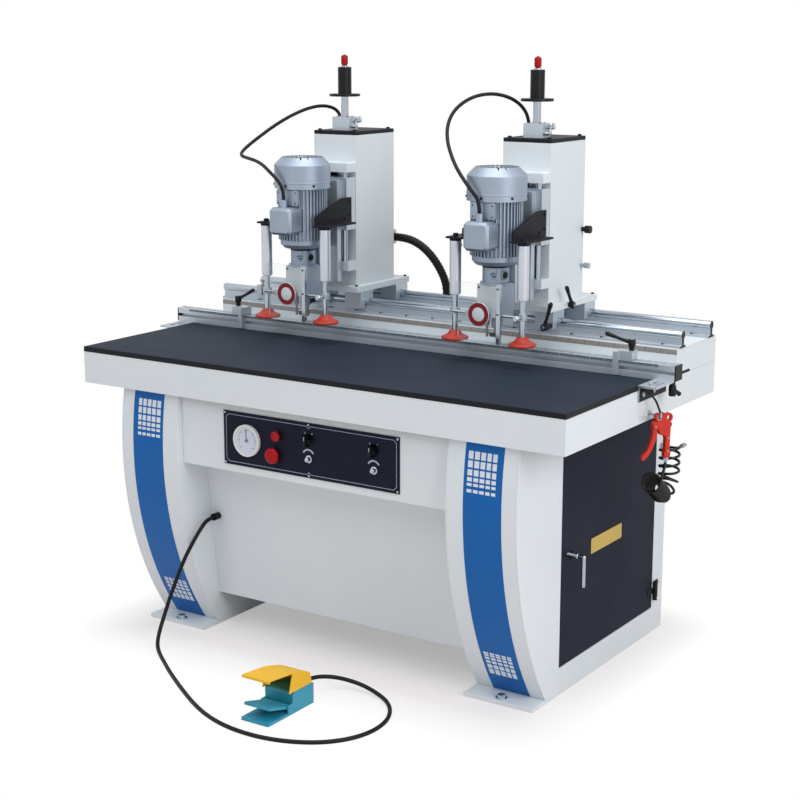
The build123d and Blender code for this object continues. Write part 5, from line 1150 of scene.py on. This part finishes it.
# %% Drilling slide and spindles
spindles = {"cup_spindle": black_oxide, "dowel_spindle_a": tool_steel, "dowel_spindle_b": tool_steel}
gear_z = 1091.5
plug_out = Vector((sin(radians(70)), -cos(radians(70)), 0))
for side, cx in head_xs.items():
    dress(f"{side}_drill_head", f"{side}_slide",
          [(silver_coat, lambda m, low, high: low.y < 0), (extruded, None)], 0.8, 3)
    for node, finish in spindles.items():
        dress(f"{side}_{node}", f"{side}_{node}_steel",
              [(finish, lambda m, low, high: m.z < 990), (tool_steel, None)], 0.3, 2)
    bm = bmesh.new()
    push(bm, rounded(39, 43, 2, (cx, gear_z)), along_y, -22.2, -20.9)
    for u, v in corners_of(33, 36):
        socket_screw(bm, (cx + u, -22.1, gear_z + v), FRONT, 3.2, 1)
    plug = Vector((cx, motor_y, 1165)) + plug_out * 38
    turned(bm, [(13.4, 0), (13.4, 4), (12, 5.4), (10.4, 5.4), (10.2, 4), (0, 4)], plug, plug_out, 2, 32)
    turned(bm, [(10.2, 0), (10.2, 1.4), (8.5, 2.4), (0, 2.4)], plug + plug_out * 3, plug_out, 3, 32)
    turned(bm, [(40, 0), (47, 0), (47, 5), (40, 5)], (cx, motor_y, 1136.2), UP, 2, 64)
    make_piece(f"{side}_gear_box_plate", bm, f"{side}_drill",
               [white_vinyl, black_oxide, silver_coat, black_plastic], 0.3)
print("slide", size_of("left_drill_head"), "m")

# %% [markdown]
# ### Hold-down clamps and guard
# Two small air cylinders push red rubber pads down on the work.  A bar between their rods carries a clear
# sheet guard with a round disc on it.

# %% Hold-down clamps
clamp_dx, clamp_y = 115.5, -22.0
pad_profile = [(0, 0), (38.6, 0), (40.4, 1.2), (41, 3.2), (41, 5.6), (39.6, 8.2), (36.4, 10), (30, 12.4),
               (24.4, 15.8), (20.4, 20), (17.6, 24.4), (15.8, 27.2), (14.2, 28), (0, 28)]
bolt_profile = [(4.6, 0), (4.6, 2.4), (3.8, 3.2), (0, 3.2)]
for side, cx in head_xs.items():
    def from_rod(m):
        return hypot(abs(m.x - cx) - clamp_dx, m.y - clamp_y)

    dress(f"{side}_clamp_cylinders", f"{side}_clamp_brackets",
          [(turned_aluminium, lambda m, low, high: m.z < 1266.5 and from_rod(m) < 18.1),
           (black_plastic, lambda m, low, high: m.z < 1262), (black_coat, None)], 0.8, 2)
    dress(f"{side}_hold_down", f"{side}_clamp_rods",
          [(chrome, lambda m, low, high: from_rod(m) < 9.6), (zinc_steel, None)], 0.6, 2,
          lambda low, high: high.z - low.z > 200 or (high.z - low.z < 30 and low.z > 1000))
    pads, caps = bmesh.new(), bmesh.new()
    for hand in (-1, 1):
        x = cx + hand * clamp_dx
        turned(pads, pad_profile, (x, clamp_y, 964), UP, 0, 64)
        turned(caps, [(17.5, 0), (18, 0.6), (18, 6), (17.5, 6.6)], (x, clamp_y, 1260), UP, 0, 48)
        turned(caps, [(8.2, 0), (13, 0), (13, 3), (8.2, 3)], (x, clamp_y, 1098.2), UP, 1, 48)
        for y, z in ((152, 1334), (152, 1290), (124, 1280)):
            turned(caps, bolt_profile, (cx + hand * 87.8, y, z), (hand, 0, 0), 0, 6)
    make_piece(f"{side}_pads", pads, f"{side}_hold_down", [red_rubber],
               replaced=[f"{side}_hold_down"], sharp_deg=60)
    make_piece(f"{side}_cylinder_caps", caps, f"{side}_drill", [black_coat, zinc_steel],
               0.3)
print("clamps", size_of("left_clamp_cylinders"), "m")

# %% Guard, post and disc
disc_dx, disc_z = -20.0, 1050.0
knob_profile = [(4, 0), (4, 16), (8, 17), (9, 20), (9, 28), (7.5, 30), (0, 30)]
red_ring = [(34.8, 0), (34.8, 0.4), (21, 0.4), (21, 0), (34.8, 0)]
for side, cx in head_xs.items():
    body = f"{side}_hold_down"
    dress(body, f"{side}_guard",
          [(clear_sheet, lambda m, low, high: abs(m.y + 43) > 1.9), (guard_edge, None)], 0.3, 1,
          lambda low, high: 170 < high.z - low.z < 180)
    bm = bmesh.new()
    brick(bm, (cx + 41, -48.2, 966), (cx + 54, -45, 1143))
    brick(bm, (cx + 51, -45, 966), (cx + 54, -38, 1143))
    for z in (980, 1055, 1130):
        socket_screw(bm, (cx + 46, -48, z), FRONT, 2.6, 1)
    turned(bm, knob_profile, (cx + clamp_dx, -36, 1051), FRONT, 0, 32)
    make_piece(f"{side}_guard_post", bm, body, [chrome, black_oxide], 0.4)
    bm = bmesh.new()
    turned(bm, [(0, 0), (36, 0), (36, 1.6), (35, 2.2), (0, 2.2)], (cx + disc_dx, -45, disc_z), FRONT, 0, 64)
    turned(bm, red_ring, (cx + disc_dx, -47.1, disc_z), FRONT, 1, 64)
    make_piece(f"{side}_guard_disc", bm, body, [white_vinyl, disc_red], replaced=[body])
print("hold-down", size_of("left_hold_down"), "m")

# %% [markdown]
# ## Sizes
# The box of the dressed model is printed. The dressed model has to stay inside the box of the
# CAD model.

# %% Sizes and finish
bpy.context.view_layer.update()
low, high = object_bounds()
print("visual box", [round(c, 4) for c in low], [round(c, 4) for c in high])
